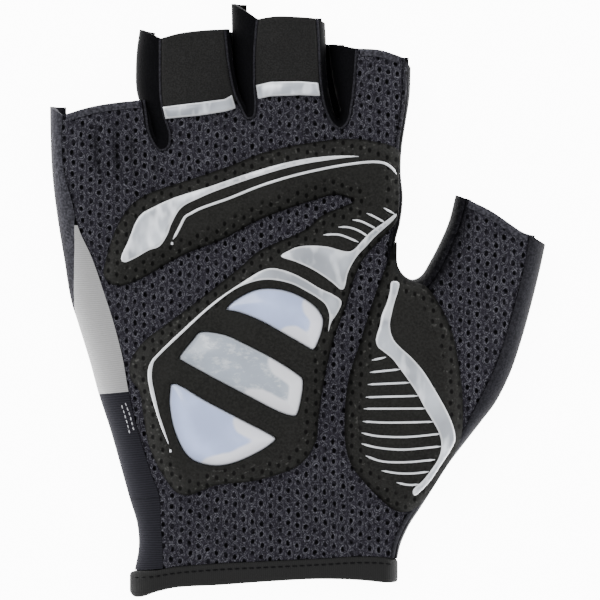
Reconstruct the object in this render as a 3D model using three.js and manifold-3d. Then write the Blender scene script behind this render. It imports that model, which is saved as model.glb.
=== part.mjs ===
// A fingerless cycling glove for the right hand, lying on its flat back with the palm up.
// Millimetres, +X towards the thumb, +Y towards the fingertips, +Z up out of the palm.
//
// The outline is drawn as six edge paths that run clockwise round the glove: up the little finger's
// outer side, down and up between the fingers, round the thumb's crotch and down the outer wrist.
// Each path pairs the widest line of the wall with the seam where the wall meets the palm side.
// The palm side is one smooth height over the plane; panels and pads are sheets cut from it.

import * as THREE from "three";
import { mergeVertices } from "three/addons/utils/BufferGeometryUtils.js";
import Module from "manifold-3d";

const wasm = await Module();
wasm.setup();

// Driving dimensions
const GLOVE_WIDTH = 145; // little-finger side to thumb tip; the across shares count from its left end
const GLOVE_LENGTH = 174; // wrist to middle fingertip; the along shares count from the wrist end
const SEAM_HEIGHT = 12; // height of the upper seams over the back
const EDGE_HEIGHT = 6; // height of the walls' widest line
const PALM_RISE = 8; // the most that the palm side rises over its seams
const CLOTH_WALL = 1.2; // mesh and stretch walls
const BACK_WALL = 1.5; // back sheet
const LOWER_INSET = 4.4; // how far the back seams lie inside the widest line
const SEAM_GAP = 0.3; // clearance between pieces
const PAD_EDGE = 1.0; // pad thickness at its rim
const PAD_CROWN = 3.2; // pad thickness past its rolled rim
const PAD_ROLL = 5.5; // width of the rolled rim
const GEL_EDGE = 2.0; // gel dome thickness at its rim
const GEL_CROWN = 3.6; // gel dome thickness in its middle
const GEL_ROLL = 7; // width of the gel's rounded rim
const TAB_WALL = 1.8; // folded fabric of the pull tabs
const GRIP_WALL = 1.3; // rubber strip on a pull tab
const BINDING_WALL = 2.0; // folded cuff binding
const BINDING_PROUD = 0.5; // how far the binding stands over the cloth
const WEB_WALL = 1.2; // webs between the fingers
const WEB_FOOT = 0.6; // height of the webs' lower face
const WEB_REACH = 0.9; // how far a web reaches under the walls' widest line
const SHEET_STEP = 6.8; // grid of the curved sheets
const PAD_STEP = SHEET_STEP / 2; // grid of the pads' outer faces
const PATH_STEPS = 2; // steps between two stations of an edge path
const WALL_TURNS = [0, 0.25, 0.5, 0.75, 1]; // shares of the way round a wall

// Colours and finishes
const FINISH = {
  mesh: { color: 0x3b3a46, roughness: 0.9, metalness: 0 },
  stretch: { color: 0x17171b, roughness: 0.7, metalness: 0 },
  elastic: { color: 0x26262b, roughness: 0.8, metalness: 0 },
  gusset: { color: 0xb0b0b2, roughness: 0.8, metalness: 0 },
  back: { color: 0x1b1b20, roughness: 0.8, metalness: 0 },
  tab: { color: 0x2a2a2a, roughness: 0.85, metalness: 0 },
  suede: { color: 0x2b2b29, roughness: 0.95, metalness: 0 },
  silver: { color: 0xbfc2cc, roughness: 0.35, metalness: 0.2 },
  gel: { color: 0xc4cfe2, roughness: 0.25, metalness: 0 },
};

// Edge paths: the widest line's across and along, then the seam's across and along
const OUTER_SIDE = [
  [0.172, 0.057, 0.226, 0.06],
  [0.176, 0.087, 0.225, 0.087],
  [0.173, 0.125, 0.221, 0.127],
  [0.158, 0.167, 0.219, 0.172],
  [0.146, 0.203, 0.204, 0.208],
  [0.12, 0.28, 0.176, 0.283],
  [0.096, 0.342, 0.158, 0.347],
  [0.078, 0.397, 0.146, 0.403],
  [0.054, 0.462, 0.126, 0.467],
  [0.04, 0.5, 0.112, 0.503],
  [0.026, 0.57, 0.084, 0.57],
  [0.016, 0.62, 0.058, 0.618],
  [0.008, 0.667, 0.044, 0.665],
  [0.002, 0.717, 0.028, 0.715],
  [-0.001, 0.775, 0.024, 0.768],
  [-0.002, 0.823, 0.026, 0.807],
];
const LITTLE_RING = [
  [0.168, 0.833, 0.186, 0.832],
  [0.172, 0.815, 0.19, 0.81],
  [0.181, 0.795, 0.194, 0.785],
  [0.192, 0.778, 0.204, 0.762],
  [0.201, 0.77, 0.22, 0.747],
  [0.2, 0.785, 0.237, 0.752],
  [0.19, 0.808, 0.242, 0.773],
  [0.177, 0.832, 0.23, 0.807],
  [0.171, 0.853, 0.224, 0.833],
  [0.17, 0.883, 0.222, 0.875],
  [0.172, 0.917, 0.222, 0.913],
  [0.178, 0.952, 0.222, 0.935],
];
const RING_MIDDLE = [
  [0.357, 0.952, 0.348, 0.95],
  [0.357, 0.908, 0.353, 0.908],
  [0.359, 0.87, 0.36, 0.87],
  [0.366, 0.842, 0.368, 0.842],
  [0.374, 0.823, 0.38, 0.82],
  [0.381, 0.815, 0.394, 0.8],
  [0.383, 0.825, 0.408, 0.803],
  [0.377, 0.842, 0.412, 0.827],
  [0.369, 0.867, 0.41, 0.86],
  [0.364, 0.9, 0.41, 0.908],
  [0.363, 0.947, 0.413, 0.943],
  [0.362, 0.995, 0.416, 0.967],
];
const MIDDLE_INDEX = [
  [0.55, 0.962, 0.532, 0.968],
  [0.552, 0.93, 0.535, 0.93],
  [0.552, 0.897, 0.537, 0.893],
  [0.556, 0.858, 0.54, 0.857],
  [0.563, 0.828, 0.547, 0.823],
  [0.571, 0.808, 0.562, 0.793],
  [0.578, 0.803, 0.58, 0.783],
  [0.579, 0.82, 0.596, 0.795],
  [0.572, 0.842, 0.604, 0.825],
  [0.565, 0.87, 0.609, 0.86],
  [0.56, 0.9, 0.612, 0.893],
  [0.558, 0.927, 0.614, 0.918],
];
const INDEX_THUMB = [
  [0.722, 0.887, 0.706, 0.903],
  [0.72, 0.842, 0.704, 0.842],
  [0.712, 0.797, 0.698, 0.798],
  [0.704, 0.753, 0.69, 0.753],
  [0.702, 0.713, 0.688, 0.713],
  [0.706, 0.67, 0.692, 0.668],
  [0.701, 0.63, 0.687, 0.632],
  [0.691, 0.595, 0.677, 0.595],
  [0.694, 0.563, 0.676, 0.555],
  [0.706, 0.543, 0.694, 0.527],
  [0.724, 0.534, 0.722, 0.515],
  [0.742, 0.54, 0.754, 0.523],
  [0.76, 0.563, 0.78, 0.553],
  [0.78, 0.595, 0.8, 0.587],
  [0.798, 0.63, 0.818, 0.625],
  [0.812, 0.675, 0.832, 0.668],
];
const THUMB_WRIST = [
  [0.992, 0.592, 0.958, 0.608],
  [0.982, 0.553, 0.949, 0.562],
  [0.964, 0.492, 0.931, 0.5],
  [0.944, 0.432, 0.911, 0.44],
  [0.922, 0.378, 0.89, 0.388],
  [0.892, 0.328, 0.864, 0.343],
  [0.864, 0.297, 0.842, 0.308],
  [0.834, 0.265, 0.818, 0.273],
  [0.8, 0.228, 0.786, 0.237],
  [0.772, 0.192, 0.758, 0.2],
  [0.742, 0.153, 0.728, 0.161],
  [0.718, 0.122, 0.703, 0.127],
  [0.702, 0.092, 0.687, 0.097],
  [0.695, 0.072, 0.681, 0.073],
];

// Stations of the edge paths where a piece or a neighbour changes
const STATION = {
  hookEnd: 6, // on INDEX_THUMB, beside the end of the pad's hook
  thumbSeamStart: 11, // on INDEX_THUMB, in the crotch
  thumbSeamEnd: 7, // on THUMB_WRIST
  lowerElastic: 3, // on OUTER_SIDE, as are the next three
  gussetFoot: 6,
  wrapFoot: 8,
  gussetTip: 11,
};

// The webs between the fingers: first and last station on their paths
const WEB_STATIONS = {
  little_ring: [0, 7],
  ring_middle: [0, 10],
  middle_index: [1, 11],
};

// Free edges between two paths, as across and along shares
const LITTLE_TOP = [[0.08, 0.82], [0.136, 0.828]];
const RING_TOP = [[0.26, 0.943], [0.31, 0.948]];
const MIDDLE_TOP = [[0.45, 0.971], [0.5, 0.97]];
const INDEX_TOP = [[0.66, 0.915]];
const THUMB_TOP = [[0.88, 0.648], [0.944, 0.612]];
const THUMB_SEAM = [[0.772, 0.497], [0.8, 0.447], [0.814, 0.392], [0.822, 0.333]];

// Pull tab strips: the seam under the strip, and the strip's own four-sided outline
const RING_TAB_SEAM = [[0.222, 0.812], [0.3, 0.818], [0.37, 0.828]];
const MIDDLE_TAB_SEAM = [[0.412, 0.845], [0.475, 0.85], [0.541, 0.848]];
const RING_GRIP = [
  [0.226, 0.82], [0.3, 0.827], [0.35, 0.833], [0.364, 0.84],
  [0.372, 0.818], [0.35, 0.812], [0.3, 0.805], [0.232, 0.8],
];
const MIDDLE_GRIP = [
  [0.412, 0.856], [0.44, 0.861], [0.5, 0.862], [0.536, 0.86],
  [0.54, 0.838], [0.5, 0.839], [0.44, 0.837], [0.416, 0.833],
];

// Pad outlines, clockwise
const PALM_PAD = [
  [0.108, 0.542], [0.114, 0.57], [0.128, 0.608], [0.146, 0.638], [0.17, 0.662], [0.2, 0.677],
  [0.284, 0.7], [0.354, 0.72], [0.42, 0.742], [0.496, 0.757], [0.59, 0.767], [0.65, 0.762],
  [0.696, 0.748], [0.697, 0.708], [0.698, 0.667], [0.692, 0.63],
  [0.664, 0.603], [0.628, 0.57], [0.608, 0.537], [0.592, 0.492], [0.566, 0.433], [0.548, 0.367],
  [0.536, 0.3], [0.532, 0.267], [0.502, 0.228], [0.414, 0.2], [0.334, 0.192], [0.276, 0.175],
  [0.254, 0.18], [0.228, 0.207], [0.2, 0.255], [0.188, 0.307], [0.18, 0.347], [0.162, 0.37],
  [0.162, 0.397], [0.188, 0.43], [0.232, 0.458], [0.284, 0.49], [0.38, 0.553], [0.418, 0.58],
  [0.512, 0.617], [0.544, 0.64], [0.58, 0.653], [0.606, 0.663],
  [0.574, 0.674], [0.528, 0.665], [0.48, 0.652], [0.418, 0.632], [0.346, 0.6], [0.284, 0.58],
  [0.24, 0.562], [0.2, 0.542], [0.164, 0.528], [0.14, 0.523], [0.12, 0.528],
];
const THUMB_PAD = [
  [0.692, 0.597], [0.672, 0.557], [0.648, 0.505], [0.622, 0.437], [0.596, 0.367], [0.588, 0.3],
  [0.592, 0.25], [0.606, 0.22], [0.65, 0.177], [0.688, 0.15], [0.712, 0.147], [0.736, 0.157],
  [0.786, 0.217], [0.82, 0.268], [0.824, 0.333], [0.816, 0.392], [0.802, 0.447], [0.774, 0.497],
  [0.748, 0.524], [0.722, 0.53], [0.704, 0.54], [0.694, 0.56],
];
const GEL_WINDOWS = {
  top: [
    [0.354, 0.485], [0.376, 0.503], [0.416, 0.518], [0.466, 0.517], [0.51, 0.5], [0.544, 0.48],
    [0.548, 0.463], [0.526, 0.417], [0.5, 0.428], [0.46, 0.447], [0.42, 0.465], [0.38, 0.478],
  ],
  middle: [
    [0.258, 0.402], [0.284, 0.433], [0.3, 0.448], [0.35, 0.442], [0.39, 0.427], [0.45, 0.4],
    [0.5, 0.373], [0.508, 0.35], [0.496, 0.308], [0.46, 0.312], [0.39, 0.343], [0.31, 0.378],
  ],
  bottom: [
    [0.24, 0.355], [0.254, 0.357], [0.31, 0.333], [0.39, 0.298], [0.452, 0.27], [0.42, 0.248],
    [0.36, 0.227], [0.32, 0.225], [0.28, 0.238], [0.252, 0.278], [0.24, 0.325],
  ],
};

// Bulges and hollows of the palm side: centre across and along, half width and half length as shares
// of the glove's width, turn in degrees, and height as a share of the palm's rise
const BULGES = [
  [0.1, 0.725, 0.13, 0.22, 3, 0.36],
  [0.29, 0.817, 0.11, 0.26, 0, 0.42],
  [0.476, 0.833, 0.11, 0.26, 0, 0.46],
  [0.644, 0.783, 0.11, 0.24, -6, 0.42],
  [0.42, 0.45, 0.4, 0.48, 0, 0.95],
  [0.28, 0.283, 0.2, 0.22, 20, 0.26],
  [0.69, 0.333, 0.22, 0.26, -15, 0.5],
  [0.86, 0.517, 0.15, 0.26, -26, 0.5],
  [0.576, 0.333, 0.06, 0.18, -12, -0.2],
  [0.4, 0.608, 0.32, 0.06, 24, -0.14],
];

// Cuff binding: across share, then the along shares of its upper and lower edges
const CUFF = [
  [0.158, 0.045, 0.02],
  [0.176, 0.048, 0.004],
  [0.228, 0.057, 0.015],
  [0.3, 0.063, 0.018],
  [0.38, 0.069, 0.027],
  [0.46, 0.073, 0.032],
  [0.54, 0.076, 0.037],
  [0.6, 0.077, 0.035],
  [0.67, 0.072, 0.03],
  [0.696, 0.068, 0.036],
];
const CUFF_LEFT_ROUND = 0.06; // widths of the cuff's two roundings, as shares of the glove's width
const CUFF_RIGHT_ROUND = 0.03;
const CUFF_ARC_STEPS = 4; // steps of a quarter of a rounding
const CUFF_SPAN_STEPS = 12; // steps of the cuff's front and of its back
const CUFF_LINE_STEPS = 8; // steps of a panel's edge above the cuff
const WRAP_CURVE = 0.8; // power of the line between the wrap and the gusset

// Points on the plane

function place(across, along) {
  return new THREE.Vector2(across * GLOVE_WIDTH, along * GLOVE_LENGTH);
}

function places(rows) {
  return rows.map(([across, along]) => place(across, along));
}

function smooth(points, steps, closed = false) {
  const curve = new THREE.CatmullRomCurve3(
    points.map((p) => new THREE.Vector3(p.x, p.y, 0)),
    closed,
    "centripetal",
  );
  const spans = closed ? points.length : points.length - 1;
  const count = closed ? spans * steps : spans * steps + 1;
  return Array.from({ length: count }, (_, i) => {
    const p = curve.getPoint(i / (spans * steps));
    return new THREE.Vector2(p.x, p.y);
  });
}

// Unit vectors at right angles to a line of points, on the right of its way
function rightNormals(points, closed = false) {
  const last = points.length - 1;
  return points.map((_, i) => {
    const before = points[i === 0 ? (closed ? last : 0) : i - 1];
    const after = points[i === last ? (closed ? 0 : last) : i + 1];
    const way = after.clone().sub(before).normalize();
    return new THREE.Vector2(way.y, -way.x);
  });
}

function shiftedRight(points, distance, closed = false) {
  const normals = rightNormals(points, closed);
  return points.map((p, i) => p.clone().addScaledVector(normals[i], distance));
}

// Height of the palm side over the back

const bulges = BULGES.map(([across, along, halfWidth, halfLength, turn, height]) => ({
  centre: place(across, along),
  halfWidth: halfWidth * GLOVE_WIDTH,
  halfLength: halfLength * GLOVE_WIDTH,
  angle: THREE.MathUtils.degToRad(turn),
  height: height * PALM_RISE,
}));

function palmHeight(x, y) {
  let height = SEAM_HEIGHT;
  for (const bulge of bulges) {
    const local = new THREE.Vector2(x, y).sub(bulge.centre);
    local.rotateAround(new THREE.Vector2(), -bulge.angle);
    const reach = (local.x / bulge.halfWidth) ** 2 + (local.y / bulge.halfLength) ** 2;
    if (reach < 1) height += bulge.height * (1 - reach) ** 2;
  }
  return height;
}

// Edge paths as sampled lines: widest line, seam, and the inward way at each sample

function edgePath(rows) {
  const widest = smooth(rows.map(([across, along]) => place(across, along)), PATH_STEPS);
  const seam = smooth(rows.map((row) => place(row[2], row[3])), PATH_STEPS);
  const inward = rightNormals(widest);
  return { widest, seam, inward };
}

const paths = {
  outerSide: edgePath(OUTER_SIDE),
  littleRing: edgePath(LITTLE_RING),
  ringMiddle: edgePath(RING_MIDDLE),
  middleIndex: edgePath(MIDDLE_INDEX),
  indexThumb: edgePath(INDEX_THUMB),
  thumbWrist: edgePath(THUMB_WRIST),
};

// A point of a wall: turn -1 at the back seam, 0 at the widest line, 1 at the upper seam
function wallPoint(path, index, turn, depth) {
  const angle = (turn * Math.PI) / 2;
  const widest = path.widest[index];
  const seam = path.seam[index];
  const inward = path.inward[index];
  const reach = turn < 0 ? inward.clone().multiplyScalar(LOWER_INSET) : seam.clone().sub(widest);
  const rise = turn < 0 ? EDGE_HEIGHT : palmHeight(seam.x, seam.y) - EDGE_HEIGHT;
  const flat = widest
    .clone()
    .addScaledVector(reach, 1 - Math.cos(angle))
    .addScaledVector(inward, depth * Math.cos(angle));
  const height = EDGE_HEIGHT + (rise - depth) * Math.sin(angle);
  return new THREE.Vector3(flat.x, flat.y, height);
}

// A closed body through equal rings of points, capped at both ends
function loftedBody(rings, closed = false) {
  const size = rings[0].length;
  const positions = rings.flat().flatMap((p) => [p.x, p.y, p.z]);
  const faces = [];
  const last = closed ? rings.length : rings.length - 1;
  for (let i = 0; i < last; i++) {
    const here = i * size;
    const next = ((i + 1) % rings.length) * size;
    for (let j = 0; j < size; j++) {
      const k = (j + 1) % size;
      faces.push(here + j, here + k, next + k, here + j, next + k, next + j);
    }
  }
  if (!closed) {
    const end = (rings.length - 1) * size;
    const half = size / 2;
    for (let j = 0; j < half - 1; j++) {
      const mirror = size - 1 - j;
      faces.push(j, mirror, mirror - 1, j, mirror - 1, j + 1);
      faces.push(end + j, end + mirror - 1, end + mirror, end + j, end + j + 1, end + mirror - 1);
    }
  }
  const geometry = new THREE.BufferGeometry();
  geometry.setAttribute("position", new THREE.Float32BufferAttribute(positions, 3));
  geometry.setIndex(signedVolume(positions, faces) < 0 ? faces.reverse() : faces);
  return geometry;
}

// Six times the volume within the faces, negative where they point in
function signedVolume(positions, faces) {
  const corner = (i) => new THREE.Vector3().fromArray(positions, faces[i] * 3);
  let volume = 0;
  for (let i = 0; i < faces.length; i += 3) {
    volume += corner(i).dot(corner(i + 1).cross(corner(i + 2)));
  }
  return volume;
}

// Moves a ring of points towards its neighbour by half a seam gap
function pulledIn(ring, neighbour) {
  const middle = Math.floor(ring.length / 4);
  const share = SEAM_GAP / 2 / ring[middle].distanceTo(neighbour[middle]);
  return ring.map((p, i) => p.clone().lerp(neighbour[i], share));
}

// A stretch of wall between two samples, from the turn low(i) to the turn high(i)
function wallBody(path, first, last, low = () => -1, high = () => 1) {
  const rings = [];
  for (let index = first; index <= last; index++) {
    const turns = WALL_TURNS.map((share) => THREE.MathUtils.lerp(low(index), high(index), share));
    const outer = turns.map((turn) => wallPoint(path, index, turn, 0));
    const inner = turns.map((turn) => wallPoint(path, index, turn, CLOTH_WALL));
    rings.push([...outer, ...inner.reverse()]);
  }
  rings[0] = pulledIn(rings[0], rings[1]);
  rings[rings.length - 1] = pulledIn(rings.at(-1), rings.at(-2));
  return loftedBody(rings);
}

// Solids that are joined and cut

function solidFrom(geometry) {
  const bare = geometry.clone();
  bare.deleteAttribute("normal");
  bare.deleteAttribute("uv");
  const merged = mergeVertices(bare, 1e-4);
  return new wasm.Manifold(
    new wasm.Mesh({
      numProp: 3,
      vertProperties: new Float32Array(merged.attributes.position.array),
      triVerts: new Uint32Array(merged.index.array),
    }),
  );
}

function geometryFrom(solid) {
  const mesh = solid.getMesh();
  const geometry = new THREE.BufferGeometry();
  geometry.setAttribute("position", new THREE.BufferAttribute(mesh.vertProperties, mesh.numProp));
  geometry.setIndex(new THREE.BufferAttribute(mesh.triVerts, 1));
  return geometry;
}

function prism(outline, low, high) {
  const shape = new THREE.Shape(outline);
  const body = new THREE.ExtrudeGeometry(shape, { depth: high - low, bevelEnabled: false });
  body.translate(0, 0, low);
  return solidFrom(body);
}

// A block over the outline's box, from a flat foot up to a height taken on a grid
function blockUnder(outline, step, foot, height) {
  const box = new THREE.Box2().setFromPoints(outline);
  const startX = Math.floor(box.min.x / step) - 1;
  const startY = Math.floor(box.min.y / step) - 1;
  const countX = Math.ceil(box.max.x / step) + 2 - startX;
  const countY = Math.ceil(box.max.y / step) + 2 - startY;
  const rings = [];
  for (let i = 0; i < countX; i++) {
    const x = (startX + i) * step;
    const ring = [];
    for (let j = 0; j < countY; j++) {
      const y = (startY + j) * step;
      ring.push(new THREE.Vector3(x, y, height(x, y)));
    }
    for (let j = countY - 1; j >= 0; j--) {
      ring.push(new THREE.Vector3(x, (startY + j) * step, foot));
    }
    rings.push(ring);
  }
  return solidFrom(loftedBody(rings));
}

const HIGHEST = SEAM_HEIGHT + 3 * PALM_RISE;
const DEEPEST = -5;

// What lies inside an outline, over one height and under another
function cutSheet(outline, lower, upper, upperStep = SHEET_STEP) {
  const column = prism(outline, DEEPEST, HIGHEST);
  const whole = blockUnder(outline, upperStep, 2 * DEEPEST, upper).intersect(column);
  return whole.subtract(blockUnder(outline, SHEET_STEP, 3 * DEEPEST, lower));
}

// The palm side's height on the facets of the sheets' grid
function facetHeight(x, y) {
  const column = Math.floor(x / SHEET_STEP);
  const row = Math.floor(y / SHEET_STEP);
  const alongX = x / SHEET_STEP - column;
  const alongY = y / SHEET_STEP - row;
  const corner = (i, j) => palmHeight((column + i) * SHEET_STEP, (row + j) * SHEET_STEP);
  const origin = corner(0, 0);
  const far = corner(1, 1);
  if (alongX > alongY) {
    const side = corner(1, 0);
    return origin + (side - origin) * alongX + (far - side) * alongY;
  }
  const side = corner(0, 1);
  return origin + (side - origin) * alongY + (far - side) * alongX;
}

function panelBody(outline) {
  const lower = (x, y) => palmHeight(x, y) - CLOTH_WALL;
  return geometryFrom(cutSheet(outline, lower, palmHeight));
}

// How deep a point lies inside a closed outline, negative outside it
function depthInside(outline, x, y) {
  const point = new THREE.Vector3(x, y, 0);
  const nearest = new THREE.Vector3();
  let least = Infinity;
  outline.forEach((start, i) => {
    const end = outline[(i + 1) % outline.length];
    const side = new THREE.Line3(
      new THREE.Vector3(start.x, start.y, 0),
      new THREE.Vector3(end.x, end.y, 0),
    );
    side.closestPointToPoint(point, true, nearest);
    least = Math.min(least, nearest.distanceTo(point));
  });
  return isInside(outline, x, y) ? least : -least;
}

function isInside(outline, x, y) {
  let inside = false;
  outline.forEach((a, i) => {
    const b = outline[(i + 1) % outline.length];
    const crosses = a.y > y !== b.y > y && x < ((b.x - a.x) * (y - a.y)) / (b.y - a.y) + a.x;
    if (crosses) inside = !inside;
  });
  return inside;
}

// A pad or dome on the palm side: thin at its rim, thick past its rolled rim
function domeSolid(outline, base, edge, crown, roll) {
  const lower = (x, y) => facetHeight(x, y) + base;
  const upper = (x, y) => {
    const angle = (Math.min(depthInside(outline, x, y) / roll, 1) * Math.PI) / 2;
    const rise = angle > 0 ? Math.sin(angle) : angle;
    return lower(x, y) + edge + (crown - edge) * rise;
  };
  return cutSheet(outline, lower, upper, PAD_STEP);
}

// Lines that pieces share

function cuffEdge(column) {
  return smooth(CUFF.map((row) => place(row[0], row[column])), PATH_STEPS);
}

function heightOfLine(line, x) {
  const after = Math.max(1, line.findIndex((p) => p.x >= x));
  const end = after < 1 ? line.length - 1 : after;
  const a = line[end - 1];
  const b = line[end];
  const share = THREE.MathUtils.clamp((x - a.x) / (b.x - a.x), 0, 1);
  return THREE.MathUtils.lerp(a.y, b.y, share);
}

const cuffUpper = cuffEdge(1);
const cuffLower = cuffEdge(2);

// The cuff line from right to left between two x values, a gap above the binding
function cuffLine(rightX, leftX) {
  return Array.from({ length: CUFF_LINE_STEPS - 1 }, (_, i) => {
    const x = THREE.MathUtils.lerp(rightX, leftX, (i + 1) / CUFF_LINE_STEPS);
    return new THREE.Vector2(x, heightOfLine(cuffUpper, x) + SEAM_GAP);
  });
}

function seamLine(path, first = 0, last = path.seam.length - 1) {
  return shiftedRight(path.seam, SEAM_GAP).slice(first, last + 1);
}

function backLine(path) {
  const line = path.widest.map((p, i) => p.clone().addScaledVector(path.inward[i], LOWER_INSET));
  return shiftedRight(line, SEAM_GAP);
}

const at = (station) => station * PATH_STEPS;
const lastOf = (path) => path.seam.length - 1;

const thumbSeam = smooth(
  [
    paths.indexThumb.seam[at(STATION.thumbSeamStart)],
    ...places(THUMB_SEAM),
    paths.thumbWrist.seam[at(STATION.thumbSeamEnd)],
  ],
  PATH_STEPS,
).slice(1, -1);

const ringTabSeam = smooth(places(RING_TAB_SEAM), PATH_STEPS);
const middleTabSeam = smooth(places(MIDDLE_TAB_SEAM), PATH_STEPS);

// Seam samples above or below a tab seam
function above(line, seam) {
  return line.filter((p) => p.y > heightOfLine(seam, p.x) + SEAM_GAP);
}

function below(line, seam) {
  return line.filter((p) => p.y < heightOfLine(seam, p.x) - SEAM_GAP);
}

const down = (line) => line.map((p) => new THREE.Vector2(p.x, p.y - SEAM_GAP / 2));
const up = (line) => line.map((p) => new THREE.Vector2(p.x, p.y + SEAM_GAP / 2));

function halves(path) {
  const line = seamLine(path);
  const lowest = line.reduce((best, p, i) => (p.y < line[best].y ? i : best), 0);
  return [line.slice(0, lowest + 1), line.slice(lowest + 1)];
}

const [littleInner, ringOuter] = halves(paths.littleRing);
const [ringInner, middleOuter] = halves(paths.ringMiddle);
const [middleInner, indexInner] = halves(paths.middleIndex);

function palmOutline() {
  const thumbWrist = seamLine(paths.thumbWrist, at(STATION.thumbSeamEnd));
  const outerSide = seamLine(paths.outerSide);
  return [
    ...outerSide,
    ...places(LITTLE_TOP),
    ...littleInner,
    ...below(ringOuter, ringTabSeam),
    ...down(ringTabSeam.slice(1, -1)),
    ...below(ringInner, ringTabSeam),
    ...below(middleOuter, middleTabSeam),
    ...down(middleTabSeam.slice(1, -1)),
    ...below(middleInner, middleTabSeam),
    ...indexInner,
    ...places(INDEX_TOP),
    ...seamLine(paths.indexThumb, 0, at(STATION.thumbSeamStart) - 1),
    ...shiftedRight(thumbSeam, SEAM_GAP / 2),
    ...thumbWrist,
    ...cuffLine(thumbWrist.at(-1).x, outerSide[0].x),
  ];
}

function thumbOutline() {
  return [
    ...seamLine(paths.indexThumb, at(STATION.thumbSeamStart) + 1),
    ...places(THUMB_TOP),
    ...seamLine(paths.thumbWrist, 0, at(STATION.thumbSeamEnd) - 1),
    ...shiftedRight(thumbSeam, -SEAM_GAP / 2).reverse(),
  ];
}

function tabOutline(left, right, seam, top) {
  return [...above(left, seam), ...places(top), ...above(right, seam), ...up(seam.slice(1, -1)).reverse()];
}

// The back stops a sample short of each fingertip, behind the palm side's edge
function backOutline() {
  const lines = Object.values(paths).map((path) => backLine(path).slice(1, -1));
  const right = lines.at(-1).at(-1);
  const left = lines[0][0];
  return [...lines.flat(), ...cuffLine(right.x, left.x)];
}

function webOutline(path, [first, last]) {
  const stations = Array.from({ length: last - first + 1 }, (_, i) => at(first + i));
  return stations.map((i) => path.widest[i].clone().addScaledVector(path.inward[i], WEB_REACH));
}

// The cuff binding: a ring of sections round the wrist's cross-section

function cuffBody() {
  const left = CUFF[0][0] * GLOVE_WIDTH;
  const right = CUFF.at(-1)[0] * GLOVE_WIDTH;
  const leftRound = CUFF_LEFT_ROUND * GLOVE_WIDTH;
  const rightRound = CUFF_RIGHT_ROUND * GLOVE_WIDTH;
  const loop = [];
  const addArc = (centreX, reach, from, to, rise) => {
    for (let i = 0; i < CUFF_ARC_STEPS; i++) {
      const angle = THREE.MathUtils.degToRad(THREE.MathUtils.lerp(from, to, i / CUFF_ARC_STEPS));
      const height = Math.sin(angle) < 0 ? EDGE_HEIGHT : rise;
      loop.push({
        x: centreX + reach * Math.cos(angle),
        z: EDGE_HEIGHT + height * Math.sin(angle),
        inX: -Math.cos(angle),
        inZ: -Math.sin(angle),
      });
    }
  };
  const topAt = (x) => palmHeight(x, heightOfLine(cuffUpper, x)) + BINDING_PROUD;
  addArc(left + leftRound, leftRound, 270, 180, 0);
  addArc(left + leftRound, leftRound, 180, 90, topAt(left + leftRound) - EDGE_HEIGHT);
  for (let i = 0; i < CUFF_SPAN_STEPS; i++) {
    const x = THREE.MathUtils.lerp(left + leftRound, right - rightRound, i / CUFF_SPAN_STEPS);
    loop.push({ x, z: topAt(x), inX: 0, inZ: -1 });
  }
  addArc(right - rightRound, rightRound, 90, 0, topAt(right - rightRound) - EDGE_HEIGHT);
  addArc(right - rightRound, rightRound, 0, -90, 0);
  for (let i = 0; i < CUFF_SPAN_STEPS; i++) {
    const x = THREE.MathUtils.lerp(right - rightRound, left + leftRound, i / CUFF_SPAN_STEPS);
    loop.push({ x, z: 0, inX: 0, inZ: 1 });
  }
  const rings = loop.map(({ x, z, inX, inZ }) => {
    const upperY = heightOfLine(cuffUpper, x);
    const lowerY = heightOfLine(cuffLower, x);
    const innerX = x + inX * BINDING_WALL;
    const innerZ = z + inZ * BINDING_WALL;
    return [
      new THREE.Vector3(x, lowerY, z),
      new THREE.Vector3(x, upperY, z),
      new THREE.Vector3(innerX, upperY, innerZ),
      new THREE.Vector3(innerX, lowerY, innerZ),
    ];
  });
  return loftedBody(rings, true);
}

// Gusset line: how far round the wall the dark wrap reaches at each sample of the outer side

function wrapReach(index) {
  const tip = at(STATION.gussetTip);
  const foot = at(STATION.wrapFoot);
  const share = THREE.MathUtils.clamp((index - foot) / (tip - foot), 0, 1);
  return Math.pow(share, WRAP_CURVE);
}

// Change of turn that makes half a seam gap on a wall
const TURN_GAP = SEAM_GAP / (EDGE_HEIGHT + LOWER_INSET);

const glove = new THREE.Group();

function add(name, geometry, finish) {
  const mesh = new THREE.Mesh(geometry, new THREE.MeshStandardMaterial(finish));
  mesh.name = name;
  glove.add(mesh);
}

function addPanels() {
  add("palm_panel", panelBody(palmOutline()), FINISH.mesh);
  add("thumb_panel", panelBody(thumbOutline()), FINISH.mesh);
  add("back_panel", geometryFrom(prism(backOutline(), 0, BACK_WALL)), FINISH.back);
}

function addOuterSide() {
  const path = paths.outerSide;
  const end = lastOf(path);
  const elasticTop = at(STATION.gussetFoot);
  const lowerTop = at(STATION.lowerElastic);
  add("lower_elastic", wallBody(path, 0, lowerTop), FINISH.stretch);
  add("ribbed_elastic", wallBody(path, lowerTop, elasticTop), FINISH.elastic);
  add("side_wrap", wallBody(path, elasticTop, end, () => -1, wrapReach), FINISH.stretch);
  const tip = at(STATION.gussetTip) - 1;
  add("side_gusset", wallBody(path, elasticTop, tip, (i) => wrapReach(i) + TURN_GAP), FINISH.gusset);
}

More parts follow.
